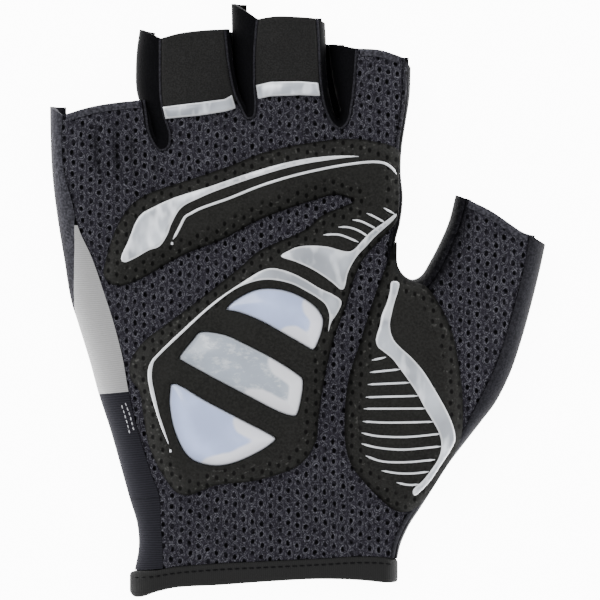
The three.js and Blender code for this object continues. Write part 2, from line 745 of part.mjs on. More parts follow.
function addFingerWalls() {
  const whole = (path) => wallBody(path, 0, lastOf(path));
  add("little_ring_fourchette", whole(paths.littleRing), FINISH.stretch);
  add("ring_middle_fourchette", whole(paths.ringMiddle), FINISH.stretch);
  add("middle_index_fourchette", whole(paths.middleIndex), FINISH.stretch);
  addWeb("little_ring", paths.littleRing);
  addWeb("ring_middle", paths.ringMiddle);
  addWeb("middle_index", paths.middleIndex);
  const split = at(STATION.hookEnd);
  add("index_side_wall", wallBody(paths.indexThumb, 0, split), FINISH.stretch);
  add("thumb_inner_wall", wallBody(paths.indexThumb, split, lastOf(paths.indexThumb)), FINISH.stretch);
  add("thumb_side_strip", whole(paths.thumbWrist), FINISH.stretch);
}

function addWeb(name, path) {
  const outline = webOutline(path, WEB_STATIONS[name]);
  const web = prism(outline, WEB_FOOT, WEB_FOOT + WEB_WALL);
  add(name + "_web", geometryFrom(web), FINISH.stretch);
}

function addTab(name, left, right, seam, top, grip) {
  const outline = tabOutline(left, right, seam, top);
  const lower = (x, y) => palmHeight(x, y) - CLOTH_WALL;
  const upper = (x, y) => palmHeight(x, y) + TAB_WALL - CLOTH_WALL;
  add(name + "_pull_tab", geometryFrom(cutSheet(outline, lower, upper)), FINISH.tab);
  const gripLower = (x, y) => upper(x, y) + SEAM_GAP;
  const gripUpper = (x, y) => gripLower(x, y) + GRIP_WALL;
  const strip = cutSheet(places(grip), gripLower, gripUpper);
  add(name + "_tab_grip", geometryFrom(strip), FINISH.silver);
}

function addPads() {
  const padOutline = smooth(places(PALM_PAD), 1, true);
  let palmPad = domeSolid(padOutline, SEAM_GAP, PAD_EDGE, PAD_CROWN, PAD_ROLL);
  for (const [name, rows] of Object.entries(GEL_WINDOWS)) {
    const window = smooth(places(rows), PATH_STEPS, true);
    palmPad = palmPad.subtract(prism(window, -1, HIGHEST));
    const domeOutline = shiftedRight(window, SEAM_GAP, true);
    const dome = domeSolid(domeOutline, SEAM_GAP, GEL_EDGE, GEL_CROWN, GEL_ROLL);
    add("gel_window_" + name, geometryFrom(dome), FINISH.gel);
  }
  add("palm_pad", geometryFrom(palmPad), FINISH.suede);
  const thumbOutline = smooth(places(THUMB_PAD), 1, true);
  const thumbPad = domeSolid(thumbOutline, SEAM_GAP, PAD_EDGE, PAD_CROWN, PAD_ROLL);
  add("thumb_pad", geometryFrom(thumbPad), FINISH.suede);
}

addPanels();
addOuterSide();
addFingerWalls();
addTab("ring", ringOuter, ringInner, ringTabSeam, RING_TOP, RING_GRIP);
addTab("middle", middleOuter, middleInner, middleTabSeam, MIDDLE_TOP, MIDDLE_GRIP);
addPads();
add("cuff_binding", cuffBody(), FINISH.elastic);

// The origin stands at the middle of the glove's box, on the surface that it lies on
const box = new THREE.Box3().setFromObject(glove);
const centre = box.getCenter(new THREE.Vector3());
glove.position.set(-centre.x, -centre.y, -box.min.z);

export default glove;
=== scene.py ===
"""A padded fingerless cycling glove for the right hand, lying on its flat back with the palm up.

Metres, +X towards the thumb, +Y towards the fingertips, +Z up out of the palm. Six edge paths run
clockwise round the glove, and each pairs the widest line of its wall with the seam where the wall meets
the palm side. The palm side is one smooth height over the plane, and the panels, pads, prints and hems
are draped on it.
"""

import math

import bpy
import numpy as np
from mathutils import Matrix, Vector, geometry


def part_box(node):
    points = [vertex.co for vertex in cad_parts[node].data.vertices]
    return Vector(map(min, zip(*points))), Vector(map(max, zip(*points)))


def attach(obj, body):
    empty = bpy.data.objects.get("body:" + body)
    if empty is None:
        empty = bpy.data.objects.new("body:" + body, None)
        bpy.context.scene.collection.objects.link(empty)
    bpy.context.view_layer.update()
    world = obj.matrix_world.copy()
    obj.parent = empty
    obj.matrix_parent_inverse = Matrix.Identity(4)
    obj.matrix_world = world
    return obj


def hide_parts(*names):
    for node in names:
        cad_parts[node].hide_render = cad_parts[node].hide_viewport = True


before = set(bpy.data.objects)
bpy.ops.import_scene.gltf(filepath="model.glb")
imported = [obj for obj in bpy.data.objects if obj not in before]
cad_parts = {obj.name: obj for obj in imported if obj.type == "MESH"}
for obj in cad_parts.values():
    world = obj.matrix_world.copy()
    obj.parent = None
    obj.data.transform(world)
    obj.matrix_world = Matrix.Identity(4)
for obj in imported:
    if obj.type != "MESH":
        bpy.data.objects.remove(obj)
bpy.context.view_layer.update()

bl_info = {
    "name": "Cycling glove",
    "version": (1, 0, 0),
    "blender": (4, 5, 0),
    "location": "3D View > Sidebar > Glove",
    "description": "Builds the cloth, pads, prints and stitches of a fingerless cycling glove",
    "category": "Object",
}

BODY = "root"
PIECE_PREFIX = "fine_"
FINISH_PREFIX = "glove_"

# Edge paths: the widest line's across and along shares, then the seam's across and along shares
OUTER_SIDE = [
    (0.168, 0.0485, 0.226, 0.0525),
    (0.176, 0.087, 0.225, 0.087),
    (0.173, 0.125, 0.221, 0.127),
    (0.158, 0.167, 0.219, 0.172),
    (0.146, 0.203, 0.204, 0.208),
    (0.12, 0.28, 0.176, 0.283),
    (0.096, 0.342, 0.158, 0.347),
    (0.078, 0.397, 0.146, 0.403),
    (0.054, 0.462, 0.126, 0.467),
    (0.04, 0.5, 0.112, 0.503),
    (0.026, 0.57, 0.084, 0.57),
    (0.016, 0.62, 0.058, 0.618),
    (0.008, 0.667, 0.044, 0.665),
    (0.002, 0.717, 0.028, 0.715),
    (-0.001, 0.775, 0.024, 0.768),
    (-0.002, 0.823, 0.026, 0.807),
]
LITTLE_RING = [
    (0.168, 0.833, 0.186, 0.832),
    (0.172, 0.815, 0.19, 0.81),
    (0.181, 0.795, 0.194, 0.785),
    (0.192, 0.778, 0.204, 0.762),
    (0.201, 0.77, 0.22, 0.747),
    (0.2, 0.785, 0.237, 0.752),
    (0.19, 0.808, 0.242, 0.773),
    (0.177, 0.832, 0.23, 0.807),
    (0.171, 0.853, 0.224, 0.833),
    (0.17, 0.883, 0.222, 0.875),
    (0.172, 0.917, 0.222, 0.913),
    (0.178, 0.952, 0.222, 0.935),
]
RING_MIDDLE = [
    (0.357, 0.952, 0.348, 0.95),
    (0.357, 0.908, 0.353, 0.908),
    (0.359, 0.87, 0.36, 0.87),
    (0.366, 0.842, 0.368, 0.842),
    (0.374, 0.823, 0.38, 0.82),
    (0.381, 0.815, 0.394, 0.8),
    (0.383, 0.825, 0.408, 0.803),
    (0.377, 0.842, 0.412, 0.827),
    (0.369, 0.867, 0.41, 0.86),
    (0.364, 0.9, 0.41, 0.908),
    (0.363, 0.947, 0.413, 0.943),
    (0.362, 0.995, 0.416, 0.967),
]
MIDDLE_INDEX = [
    (0.55, 0.962, 0.532, 0.968),
    (0.552, 0.93, 0.535, 0.93),
    (0.552, 0.897, 0.537, 0.893),
    (0.556, 0.858, 0.54, 0.857),
    (0.563, 0.828, 0.547, 0.823),
    (0.571, 0.808, 0.562, 0.793),
    (0.578, 0.803, 0.58, 0.783),
    (0.579, 0.82, 0.596, 0.795),
    (0.572, 0.842, 0.604, 0.825),
    (0.565, 0.87, 0.609, 0.86),
    (0.56, 0.9, 0.612, 0.893),
    (0.558, 0.927, 0.614, 0.918),
]
INDEX_THUMB = [
    (0.722, 0.887, 0.706, 0.903),
    (0.72, 0.842, 0.704, 0.842),
    (0.712, 0.797, 0.698, 0.798),
    (0.704, 0.753, 0.69, 0.753),
    (0.702, 0.713, 0.688, 0.713),
    (0.706, 0.67, 0.692, 0.668),
    (0.701, 0.63, 0.687, 0.632),
    (0.691, 0.595, 0.677, 0.595),
    (0.694, 0.563, 0.676, 0.555),
    (0.706, 0.543, 0.694, 0.527),
    (0.724, 0.534, 0.722, 0.515),
    (0.742, 0.54, 0.754, 0.523),
    (0.76, 0.563, 0.78, 0.553),
    (0.78, 0.595, 0.8, 0.587),
    (0.798, 0.63, 0.818, 0.625),
    (0.812, 0.675, 0.832, 0.668),
]
THUMB_WRIST = [
    (0.992, 0.592, 0.958, 0.608),
    (0.982, 0.553, 0.949, 0.562),
    (0.964, 0.492, 0.931, 0.5),
    (0.944, 0.432, 0.911, 0.44),
    (0.922, 0.378, 0.89, 0.388),
    (0.892, 0.328, 0.864, 0.343),
    (0.864, 0.297, 0.842, 0.308),
    (0.834, 0.265, 0.818, 0.273),
    (0.8, 0.228, 0.786, 0.237),
    (0.772, 0.192, 0.758, 0.2),
    (0.742, 0.153, 0.728, 0.161),
    (0.718, 0.122, 0.703, 0.127),
    (0.702, 0.092, 0.687, 0.097),
    (0.695, 0.0675, 0.681, 0.0705),
]

# Stations where a path changes its piece or its neighbour
HOOK_END = 6
THUMB_SEAM_START = 11
THUMB_SEAM_END = 7
LOWER_ELASTIC = 3
GUSSET_FOOT = 6
WRAP_FOOT = 8
GUSSET_TIP = 11.5

# The webs between the fingers: first and last station on their paths
LITTLE_RING_WEB = (0, 7)
RING_MIDDLE_WEB = (0, 10)
MIDDLE_INDEX_WEB = (1, 11)

# Free edges between two paths, as across and along shares
LITTLE_TOP = [(0.08, 0.82), (0.136, 0.828)]
RING_TOP = [(0.26, 0.943), (0.31, 0.948)]
MIDDLE_TOP = [(0.45, 0.971), (0.5, 0.97)]
INDEX_TOP = [(0.66, 0.915)]
THUMB_TOP = [(0.88, 0.648), (0.944, 0.612)]
THUMB_SEAM = [(0.772, 0.497), (0.8, 0.447), (0.814, 0.392), (0.822, 0.333)]

# Pull tabs: the seam under each strip, and the strip's own outline
RING_TAB_SEAM = [(0.222, 0.812), (0.3, 0.818), (0.37, 0.828)]
MIDDLE_TAB_SEAM = [(0.412, 0.845), (0.475, 0.85), (0.541, 0.848)]
RING_GRIP = [
    (0.226, 0.82), (0.3, 0.827), (0.35, 0.833), (0.364, 0.84),
    (0.372, 0.818), (0.35, 0.812), (0.3, 0.805), (0.232, 0.8),
]
MIDDLE_GRIP = [
    (0.412, 0.856), (0.44, 0.861), (0.5, 0.862), (0.536, 0.86),
    (0.54, 0.838), (0.5, 0.839), (0.44, 0.837), (0.416, 0.833),
]

# Pad outlines, clockwise
PALM_PAD = [
    (0.108, 0.542), (0.114, 0.57), (0.128, 0.608), (0.146, 0.638), (0.17, 0.662), (0.2, 0.677),
    (0.284, 0.7), (0.354, 0.72), (0.42, 0.742), (0.496, 0.757), (0.59, 0.767), (0.65, 0.762),
    (0.696, 0.748), (0.697, 0.708), (0.698, 0.667), (0.692, 0.63),
    (0.664, 0.603), (0.628, 0.57), (0.608, 0.537), (0.592, 0.492), (0.566, 0.433), (0.548, 0.367),
    (0.536, 0.3), (0.532, 0.267), (0.502, 0.228), (0.414, 0.2), (0.334, 0.192), (0.276, 0.175),
    (0.254, 0.18), (0.228, 0.207), (0.2, 0.255), (0.188, 0.307), (0.18, 0.347), (0.162, 0.37),
    (0.162, 0.397), (0.188, 0.43), (0.232, 0.458), (0.284, 0.49), (0.38, 0.553), (0.418, 0.58),
    (0.512, 0.617), (0.544, 0.64), (0.58, 0.653), (0.606, 0.663),
    (0.574, 0.674), (0.528, 0.665), (0.48, 0.652), (0.418, 0.632), (0.346, 0.6), (0.284, 0.58),
    (0.24, 0.562), (0.2, 0.542), (0.164, 0.528), (0.14, 0.523), (0.12, 0.528),
]
THUMB_PAD = [
    (0.692, 0.597), (0.672, 0.557), (0.648, 0.505), (0.622, 0.437), (0.596, 0.367), (0.588, 0.3),
    (0.592, 0.25), (0.606, 0.22), (0.65, 0.177), (0.688, 0.15), (0.712, 0.147), (0.736, 0.157),
    (0.786, 0.217), (0.82, 0.268), (0.824, 0.333), (0.816, 0.392), (0.802, 0.447), (0.774, 0.497),
    (0.748, 0.524), (0.722, 0.53), (0.704, 0.54), (0.694, 0.56),
]
GEL_WINDOWS = {
    "top": [
        (0.353, 0.484), (0.358, 0.491), (0.376, 0.503), (0.416, 0.518), (0.466, 0.517), (0.51, 0.502),
        (0.538, 0.482), (0.547, 0.463), (0.53, 0.419), (0.525, 0.416), (0.518, 0.419), (0.46, 0.447),
        (0.42, 0.465), (0.38, 0.478), (0.358, 0.482),
    ],
    "middle": [
        (0.259, 0.403), (0.263, 0.41), (0.29, 0.438), (0.298, 0.446), (0.308, 0.448), (0.35, 0.443),
        (0.39, 0.428), (0.45, 0.402), (0.494, 0.378), (0.505, 0.37), (0.507, 0.358), (0.497, 0.314),
        (0.492, 0.307), (0.483, 0.307), (0.46, 0.313), (0.39, 0.343), (0.31, 0.378), (0.265, 0.399),
    ],
    "bottom": [
        (0.241, 0.35), (0.243, 0.36), (0.252, 0.362), (0.31, 0.335), (0.39, 0.3), (0.446, 0.275),
        (0.453, 0.27), (0.449, 0.265), (0.42, 0.248), (0.36, 0.227), (0.32, 0.225), (0.28, 0.238),
        (0.252, 0.278), (0.24, 0.325),
    ],
}

# Raised silver prints on the pads: one edge of each band, then its other edge back again
UPPER_CRESCENT = [
    (0.144, 0.567), (0.16, 0.6), (0.174, 0.63), (0.186, 0.643), (0.2, 0.65), (0.244, 0.667),
    (0.32, 0.687), (0.4, 0.71), (0.48, 0.728), (0.56, 0.738), (0.618, 0.737),
    (0.58, 0.734), (0.5, 0.723), (0.42, 0.705), (0.34, 0.682), (0.3, 0.668), (0.264, 0.652),
    (0.244, 0.625), (0.236, 0.607), (0.22, 0.588), (0.2, 0.582), (0.17, 0.568), (0.15, 0.562),
]
HOOK_WEDGE = [
    (0.462, 0.572), (0.48, 0.582), (0.5, 0.588), (0.55, 0.588), (0.6, 0.58), (0.624, 0.598),
    (0.64, 0.612), (0.67, 0.63), (0.692, 0.643),
    (0.69, 0.637), (0.67, 0.62), (0.65, 0.605), (0.63, 0.587), (0.614, 0.573), (0.596, 0.547),
    (0.586, 0.517), (0.58, 0.517), (0.564, 0.528), (0.544, 0.54), (0.52, 0.552), (0.49, 0.563),
]
HEEL_CRESCENT = [
    (0.556, 0.447), (0.558, 0.475), (0.55, 0.492), (0.536, 0.502), (0.51, 0.515), (0.48, 0.527),
    (0.43, 0.533), (0.38, 0.521), (0.324, 0.488), (0.27, 0.447), (0.22, 0.407), (0.21, 0.397),
    (0.206, 0.383), (0.206, 0.367), (0.212, 0.342), (0.22, 0.313), (0.23, 0.287), (0.24, 0.26),
    (0.23, 0.277), (0.21, 0.325), (0.202, 0.35), (0.198, 0.37), (0.199, 0.387), (0.206, 0.4),
    (0.22, 0.413), (0.27, 0.453), (0.33, 0.497), (0.384, 0.528), (0.424, 0.548), (0.444, 0.552),
    (0.48, 0.545), (0.51, 0.533), (0.54, 0.518), (0.566, 0.508), (0.582, 0.497), (0.574, 0.478),
    (0.562, 0.463),
]
THUMB_BAND = [
    (0.697, 0.528), (0.694, 0.513), (0.688, 0.497), (0.682, 0.478), (0.678, 0.458), (0.68, 0.445),
    (0.686, 0.433), (0.7, 0.42), (0.72, 0.405), (0.744, 0.382), (0.766, 0.353), (0.784, 0.327),
    (0.8, 0.3), (0.808, 0.278), (0.808, 0.265), (0.798, 0.248), (0.78, 0.225), (0.76, 0.2),
    (0.74, 0.182), (0.728, 0.175),
    (0.724, 0.183), (0.744, 0.2), (0.76, 0.217), (0.774, 0.235), (0.78, 0.25), (0.78, 0.267),
    (0.774, 0.283), (0.764, 0.298), (0.748, 0.32), (0.734, 0.342), (0.716, 0.365), (0.696, 0.388),
    (0.682, 0.403), (0.664, 0.415), (0.654, 0.422), (0.65, 0.432), (0.652, 0.442), (0.658, 0.458),
    (0.662, 0.475), (0.672, 0.495), (0.678, 0.513), (0.682, 0.53),
]

# Thin raised lines, each a row of across and along shares
UPPER_LINE = [
    (0.248, 0.6), (0.256, 0.612), (0.264, 0.625), (0.272, 0.637), (0.284, 0.643), (0.3, 0.65),
    (0.36, 0.668), (0.42, 0.688), (0.5, 0.708), (0.58, 0.722), (0.65, 0.728), (0.67, 0.725),
    (0.684, 0.717), (0.692, 0.708),
]
HOOK_RIBS = [
    [(0.546, 0.607), (0.564, 0.608), (0.58, 0.607), (0.616, 0.595)],
    [(0.576, 0.62), (0.594, 0.62), (0.614, 0.615), (0.638, 0.603)],
    [(0.604, 0.632), (0.62, 0.63), (0.652, 0.617)],
    [(0.632, 0.643), (0.646, 0.638), (0.67, 0.627)],
    [(0.666, 0.652), (0.688, 0.642)],
]
THUMB_RIBS = [
    [(0.642, 0.4), (0.67, 0.405)],
    [(0.638, 0.38), (0.698, 0.385)],
    [(0.634, 0.36), (0.718, 0.363)],
    [(0.63, 0.339), (0.734, 0.341)],
    [(0.626, 0.32), (0.75, 0.32)],
    [(0.624, 0.299), (0.67, 0.297), (0.766, 0.298)],
    [(0.622, 0.28), (0.65, 0.275), (0.71, 0.273), (0.78, 0.278)],
    [(0.622, 0.262), (0.65, 0.256), (0.7, 0.252), (0.78, 0.257)],
    [(0.63, 0.242), (0.66, 0.233), (0.71, 0.231), (0.768, 0.235)],
    [(0.662, 0.217), (0.69, 0.213), (0.72, 0.212), (0.756, 0.215)],
    [(0.692, 0.197), (0.716, 0.193), (0.738, 0.194)],
]
PRINT_DOTS = [(0.246, 0.593), (0.243, 0.25)]

# Bulges and hollows of the palm side: centre across and along, half width and half length as shares
# of the glove's width, turn in degrees, and height as a share of the palm's rise
BULGES = [
    (0.1, 0.725, 0.13, 0.22, 3, 0.36),
    (0.29, 0.817, 0.11, 0.26, 0, 0.42),
    (0.476, 0.833, 0.11, 0.26, 0, 0.46),
    (0.644, 0.783, 0.11, 0.24, -6, 0.42),
    (0.42, 0.45, 0.4, 0.48, 0, 0.95),
    (0.28, 0.283, 0.2, 0.22, 20, 0.26),
    (0.69, 0.333, 0.22, 0.26, -15, 0.5),
    (0.86, 0.517, 0.15, 0.26, -26, 0.5),
    (0.576, 0.333, 0.06, 0.18, -12, -0.2),
    (0.4, 0.608, 0.32, 0.06, 24, -0.14),
]

# Cuff binding: across share, then the along shares of its upper and lower edges
CUFF = [
    (0.158, 0.0455, 0.009),
    (0.166, 0.047, 0.0042),
    (0.21, 0.0495, 0.013),
    (0.25, 0.055, 0.0205),
    (0.34, 0.061, 0.025),
    (0.44, 0.065, 0.031),
    (0.54, 0.069, 0.035),
    (0.62, 0.0725, 0.033),
    (0.67, 0.071, 0.029),
    (0.696, 0.067, 0.0285),
]

# Widths of the binding's rounded sides, as shares of the glove's width
CUFF_LEFT_ROUND = 0.06
CUFF_RIGHT_ROUND = 0.03

# Points on each span of a smooth line, and steps round a wall
PATH_STEPS = 8
WALL_TURNS = 24

# Shading: how much the walls darken from the upper seam to the widest line, the power of that
# darkening, and the most that a wall, a mesh panel or a pad's slope may have
EDGE_SHADE = 0.75
SHADE_POWER = 1.5
DARKEST_WALL = 0.95
DARKEST_TOP = 0.9

# How shaded the two walls of mesh are all over
INDEX_WALL_SHADE = 0.45
THUMB_WALL_SHADE = 0.8

# The mesh's holes: how much lower each column lies, and how far holes stray, as shares of a pitch
COLUMN_DROP = 0.27
HOLE_STRAY = 0.09

# The waves that scatter the holes across and along: turn from column to column and from row to row
STRAY_WAVES = [(12.9, 78.2), (39.3, 11.1)]

# A hole's least distance from an edge and its inner ring of points, as shares of its half lengths
HOLE_MARGIN = 1.25
HOLE_RING = 0.6
HOLE_SPOKES = 8

# How far under a pad the mesh keeps the points of its holes, and then its dents, in metres
HOLES_UNDER_PAD = 0.0015
DENTS_UNDER_PAD = 0.0025

# Points on the yarn: their least distance from an edge in metres, and from a hole in its half lengths
YARN_MARGIN = 0.0005
YARN_REACH = 1.2

# Soft folds across the mesh: across and along shares of points on each, then width and depth in metres
FOLDS = [
    ([(0.09, 0.8), (0.094, 0.74), (0.104, 0.69)], 0.0009, 0.0005),
    ([(0.132, 0.8), (0.134, 0.74), (0.142, 0.69)], 0.0009, 0.0005),
    ([(0.165, 0.79), (0.166, 0.74), (0.172, 0.7)], 0.0008, 0.0004),
    ([(0.21, 0.74), (0.212, 0.72), (0.216, 0.7)], 0.0008, 0.0003),
    ([(0.034, 0.8), (0.035, 0.72), (0.05, 0.66), (0.076, 0.59)], 0.0006, 0.0004),
]

# The depth in metres at which a fold is fully shaded
FOLD_SHADE = 0.0006

# Rows of stitches, as across and along shares: zigzags beside the tabs, and light ones down the side
ZIGZAGS = [
    [(0.356, 0.908), (0.358, 0.868), (0.364, 0.846)],
    [(0.412, 0.9), (0.412, 0.85)],
    [(0.54, 0.9), (0.543, 0.865)],
]
LIGHT_STITCHES = [
    [(0.144, 0.326), (0.153, 0.303), (0.161, 0.277)],
    [(0.151, 0.33), (0.161, 0.308), (0.169, 0.282)],
]

# The binding's folded section: share of the way from its lower to its upper edge, then depth as a
# share of its thickness
BINDING_SECTION = [
    (0.0, 0.35), (0.02, 0.15), (0.08, 0.04), (0.18, 0.0), (0.4, 0.0), (0.6, 0.0), (0.82, 0.0),
    (0.92, 0.06), (0.98, 0.2), (1.0, 0.5), (1.0, 1.0), (0.6, 1.0), (0.3, 1.0), (0.0, 1.0),
]

# Points round the cuff: on each quarter turn, over the palm, under the back, and on the palm's edge
CORNER_SAMPLES = 12
OVER_SAMPLES = 110
BACK_SAMPLES = 50
CUFF_LINE_SAMPLES = 66

# Distances between points, in metres
EDGE_STEP = 0.0006
SEAM_STEP = 0.001
WEB_STEP = 0.002
PLAIN_STEP = 0.003
PLAIN_MARGIN = 0.002
PLATE_MARGIN = 0.001

# Points of a slab, in metres: depths of the rows along its edge, their spacing, the step of the grid
# within, and the grid's margin
TAB_FILLING = ((0.0003, 0.0008), EDGE_STEP, 0.0012, 0.0012)
GRIP_FILLING = ((0.0002, 0.0005, 0.001), 0.0005, 0.0007, 0.0013)
PAD_FILLING = ((0.00015, 0.0004, 0.0009), EDGE_STEP, 0.00075, 0.0012)
GEL_FILLING = ((0.00015, 0.0004, 0.0008), EDGE_STEP, 0.001, 0.0012)
WINDOW_ROWS = (0.0002, 0.0006, 0.0012)
PRINT_STEP = 0.0008

# Slabs, in metres and square metres: points that merge, and twice the least triangle's area. Then the
# least depth of a row's points, as a share of the row's own, and a divisor that stands in for zero
MERGE_DISTANCE = 1e-7
LEAST_AREA = 1e-14
LEAST_ROW_DEPTH = 0.9
NEARLY_ZERO = 1e-18

# Angles in degrees past which an edge is sharp, on most pieces and on the mesh
SHARP = 50
MESH_SHARP = 70

# Turned-down rims: the mesh's, those of tabs, gel and windows in metres, and a pad's as a share of its edge
MESH_TURN = 0.0006
MESH_DROP = 0.0003
TURN_WIDTH = 0.0008
WINDOW_TURN = 0.0012
TURN_DROP = 0.0006
PAD_DROP = 0.7

# The grips' rounded rim: its width in metres, and the share of the grip's thickness at its edge
GRIP_ROLL = 0.0016
GRIP_EDGE = 0.35

# The dents on a pad's slope: depth share in a dent's middle, how fast it falls, and how fast dents fade
# in from the crown; then how fast the slope's speckles fade in
DENT_CENTRE = 1.15
DENT_FALL = 0.9
DENT_FADE = 4
SLOPE_FADE = 3

# Gel windows: clearance to the pad and width of the pale band of painted highlight in metres, the way
# to its side, the band's strength at the rim, and how fast it comes up towards that side
GEL_CLEARANCE = 0.00012
GEL_HIGHLIGHT = 0.005
GEL_HIGHLIGHT_WAY = (0.8, -0.6)
GEL_HIGHLIGHT_RIM = 1.2
GEL_HIGHLIGHT_FADE = 5
GREY_GEL_MOTTLE = 0.55

# Depths in metres between which the painted highlights on the rims of the gel and the prints fade in
GEL_RIM_HIGHLIGHT = (0.0009, 0.0002)
SILVER_RIM_HIGHLIGHT = (0.0007, 0.0002)

# Prints: swelling of the long line, least width share at a line's ends, depth of the first row of
# points as a share of the rise, and how far a band's rim turns down
UPPER_LINE_SWELL = 1.25
LINE_END = 0.3
PRINT_ROW = 0.4
PRINT_TURN = 0.75

# Stitches: half a stitch as a share of its chord, and the chords of each kind in stitch lengths
STITCH_HALF = 0.36
CUFF_CHORD = 1.5
ZIGZAG_CHORD = 0.45
LIGHT_CHORD = 1.1

# Printed dots and feet of pieces that are laid on the cloth, in metres
DOT_HALF_LENGTH = 0.00045
DOT_RADIUS = 0.00035
PRINT_SINK = 0.0002
HEM_LIFT = 0.0003
HEM_SINK = 0.0009
RIDGE_SINK = 0.0006

# Knitted cloths: scale of the grain, its bump in metres, roughness, and contrast
KNITS = {
    "stretch": (2600, 0.00006, 0.75, 0.35),
    "strip": (1800, 0.00006, 0.75, 0.45),
    "wrap": (1500, 0.0002, 0.75, 0.6),
    "tab": (2400, 0.00006, 0.9, 0.25),
}

# Ribbed cloths: the field that the ribs cross, their pitch in metres, and contrast
RIBS = {
    "gusset": ("along", 0.00062, 0.18),
    "elastic": ("along", 0.0007, 0.4),
    "binding": ("across", 0.0006, 0.12),
}

# Lights: name, place and size in metres, and power in watts
LIGHTS = [
    ("key_light", (-0.5, 0.55, 0.9), 0.7, 12),
    ("fill_light", (0.6, -0.3, 0.9), 0.9, 6),
]

# The stage: lengths in metres, the floor's emission strength, and the camera's sensor in millimetres
FLOOR_HALF = 3.0
FLOOR_DROP = 0.0002
FLOOR_GLOW = 12.0
CAMERA_ACROSS = 0.0007
FRAMED_HEIGHT = 0.01
SENSOR_WIDTH = 36


def length(name, description, default):
    """A length that a user may change, in metres."""
    return bpy.props.FloatProperty(
        name=name, description=description, default=default, min=0, precision=5,
        subtype="DISTANCE", unit="LENGTH",
    )


def colour(name, description, default):
    """A linear colour that a user may change."""
    return bpy.props.FloatVectorProperty(
        name=name, description=description, default=default, min=0, max=1, size=3, subtype="COLOR",
    )


class GloveSizes(bpy.types.PropertyGroup):
    """Lengths that drive the glove's form."""

    glove_width: length("Width", "Little-finger side to thumb tip", 0.145)
    glove_length: length("Length", "Wrist to middle fingertip", 0.174)
    seam_height: length("Seam height", "Height of the upper seams over the back", 0.012)
    edge_height: length("Edge height", "Height of the walls' widest line", 0.006)
    palm_rise: length("Palm rise", "The most that the palm rises over its seams", 0.008)
    cloth_wall: length("Cloth", "Thickness of the mesh and stretch walls", 0.0012)
    back_wall: length("Back", "Thickness of the back sheet", 0.0015)
    lower_inset: length("Back inset", "How far the back seams lie inside the widest line", 0.0044)
    web_wall: length("Web", "Thickness of the webs between the fingers", 0.0012)
    web_foot: length("Web foot", "Height of the webs' lower face", 0.0006)
    web_reach: length("Web reach", "How far a web reaches under the walls' widest line", 0.0009)
    seam_gap: length("Seam gap", "Clearance between sewn edges", 0.0001)
    pad_gap: length("Pad gap", "Clearance under the pads and the gel", 0.0003)
    pad_edge: length("Pad edge", "Pad thickness at its rim", 0.001)
    pad_crown: length("Pad crown", "Pad thickness past its rolled rim", 0.0032)
    pad_roll: length("Pad roll", "Width of the pads' rolled rim", 0.0055)
    pad_foot: length("Pad foot", "Width of the shaded foot round a pad", 0.0009)
    dent_depth: length("Dent depth", "Depth of the small dents on the pads' slopes", 0.00045)
    gel_edge: length("Gel edge", "Gel thickness at its rim", 0.002)
    gel_crown: length("Gel crown", "Gel thickness in its middle", 0.0036)
    gel_roll: length("Gel roll", "Width of the gel's rounded rim", 0.007)
    tab_wall: length("Tab", "Thickness of the folded pull tabs", 0.0018)
    grip_wall: length("Grip", "Thickness of the strips on the tabs", 0.0013)
    binding_wall: length("Binding", "Thickness of the folded cuff binding", 0.002)
    binding_proud: length("Binding rise", "How far the binding stands over the cloth", 0.0005)
    hole_across: length("Hole pitch across", "From one column of mesh holes to the next", 0.0026)
    hole_along: length("Hole pitch along", "From one hole to the next down a column", 0.0031)
    hole_width: length("Hole half width", "Half the width of a mesh hole", 0.00062)
    hole_length: length("Hole half length", "Half the length of a mesh hole", 0.00086)
    hole_depth: length("Hole depth", "How far a mesh hole sinks into the cloth", 0.00055)
    print_rise: length("Print rise", "How far the silver prints stand over the pads", 0.00025)
    line_width: length("Line width", "Width of the thin printed lines", 0.0006)
    hem_width: length("Hem width", "Width of the hems round the finger openings", 0.0022)
    shade_reach: length("Shaded edge", "How far the mesh is shaded beside a sewn edge", 0.006)
    seam_allowance: length("Seam allowance", "Width of the doubled cloth under a seam", 0.0032)
    ridge_width: length("Ridge width", "Width of the rolled seams beside the fingers", 0.0007)
    hem_rise: length("Hem rise", "How far a hem stands over the cloth", 0.0004)
    stitch_length: length("Stitch length", "Length of one stitch", 0.0014)
    zigzag_width: length("Zigzag", "Width of the zigzag stitches beside the pull tabs", 0.0011)
    cuff_stitch_inset: length("Cuff stitch inset", "From the binding's upper edge to its stitches", 0.0017)
    stitch_radius: length("Stitch radius", "Half the thickness of the sewing thread", 0.0002)
    camera_height: length("Camera height", "Height of the camera over the floor", 1.2)


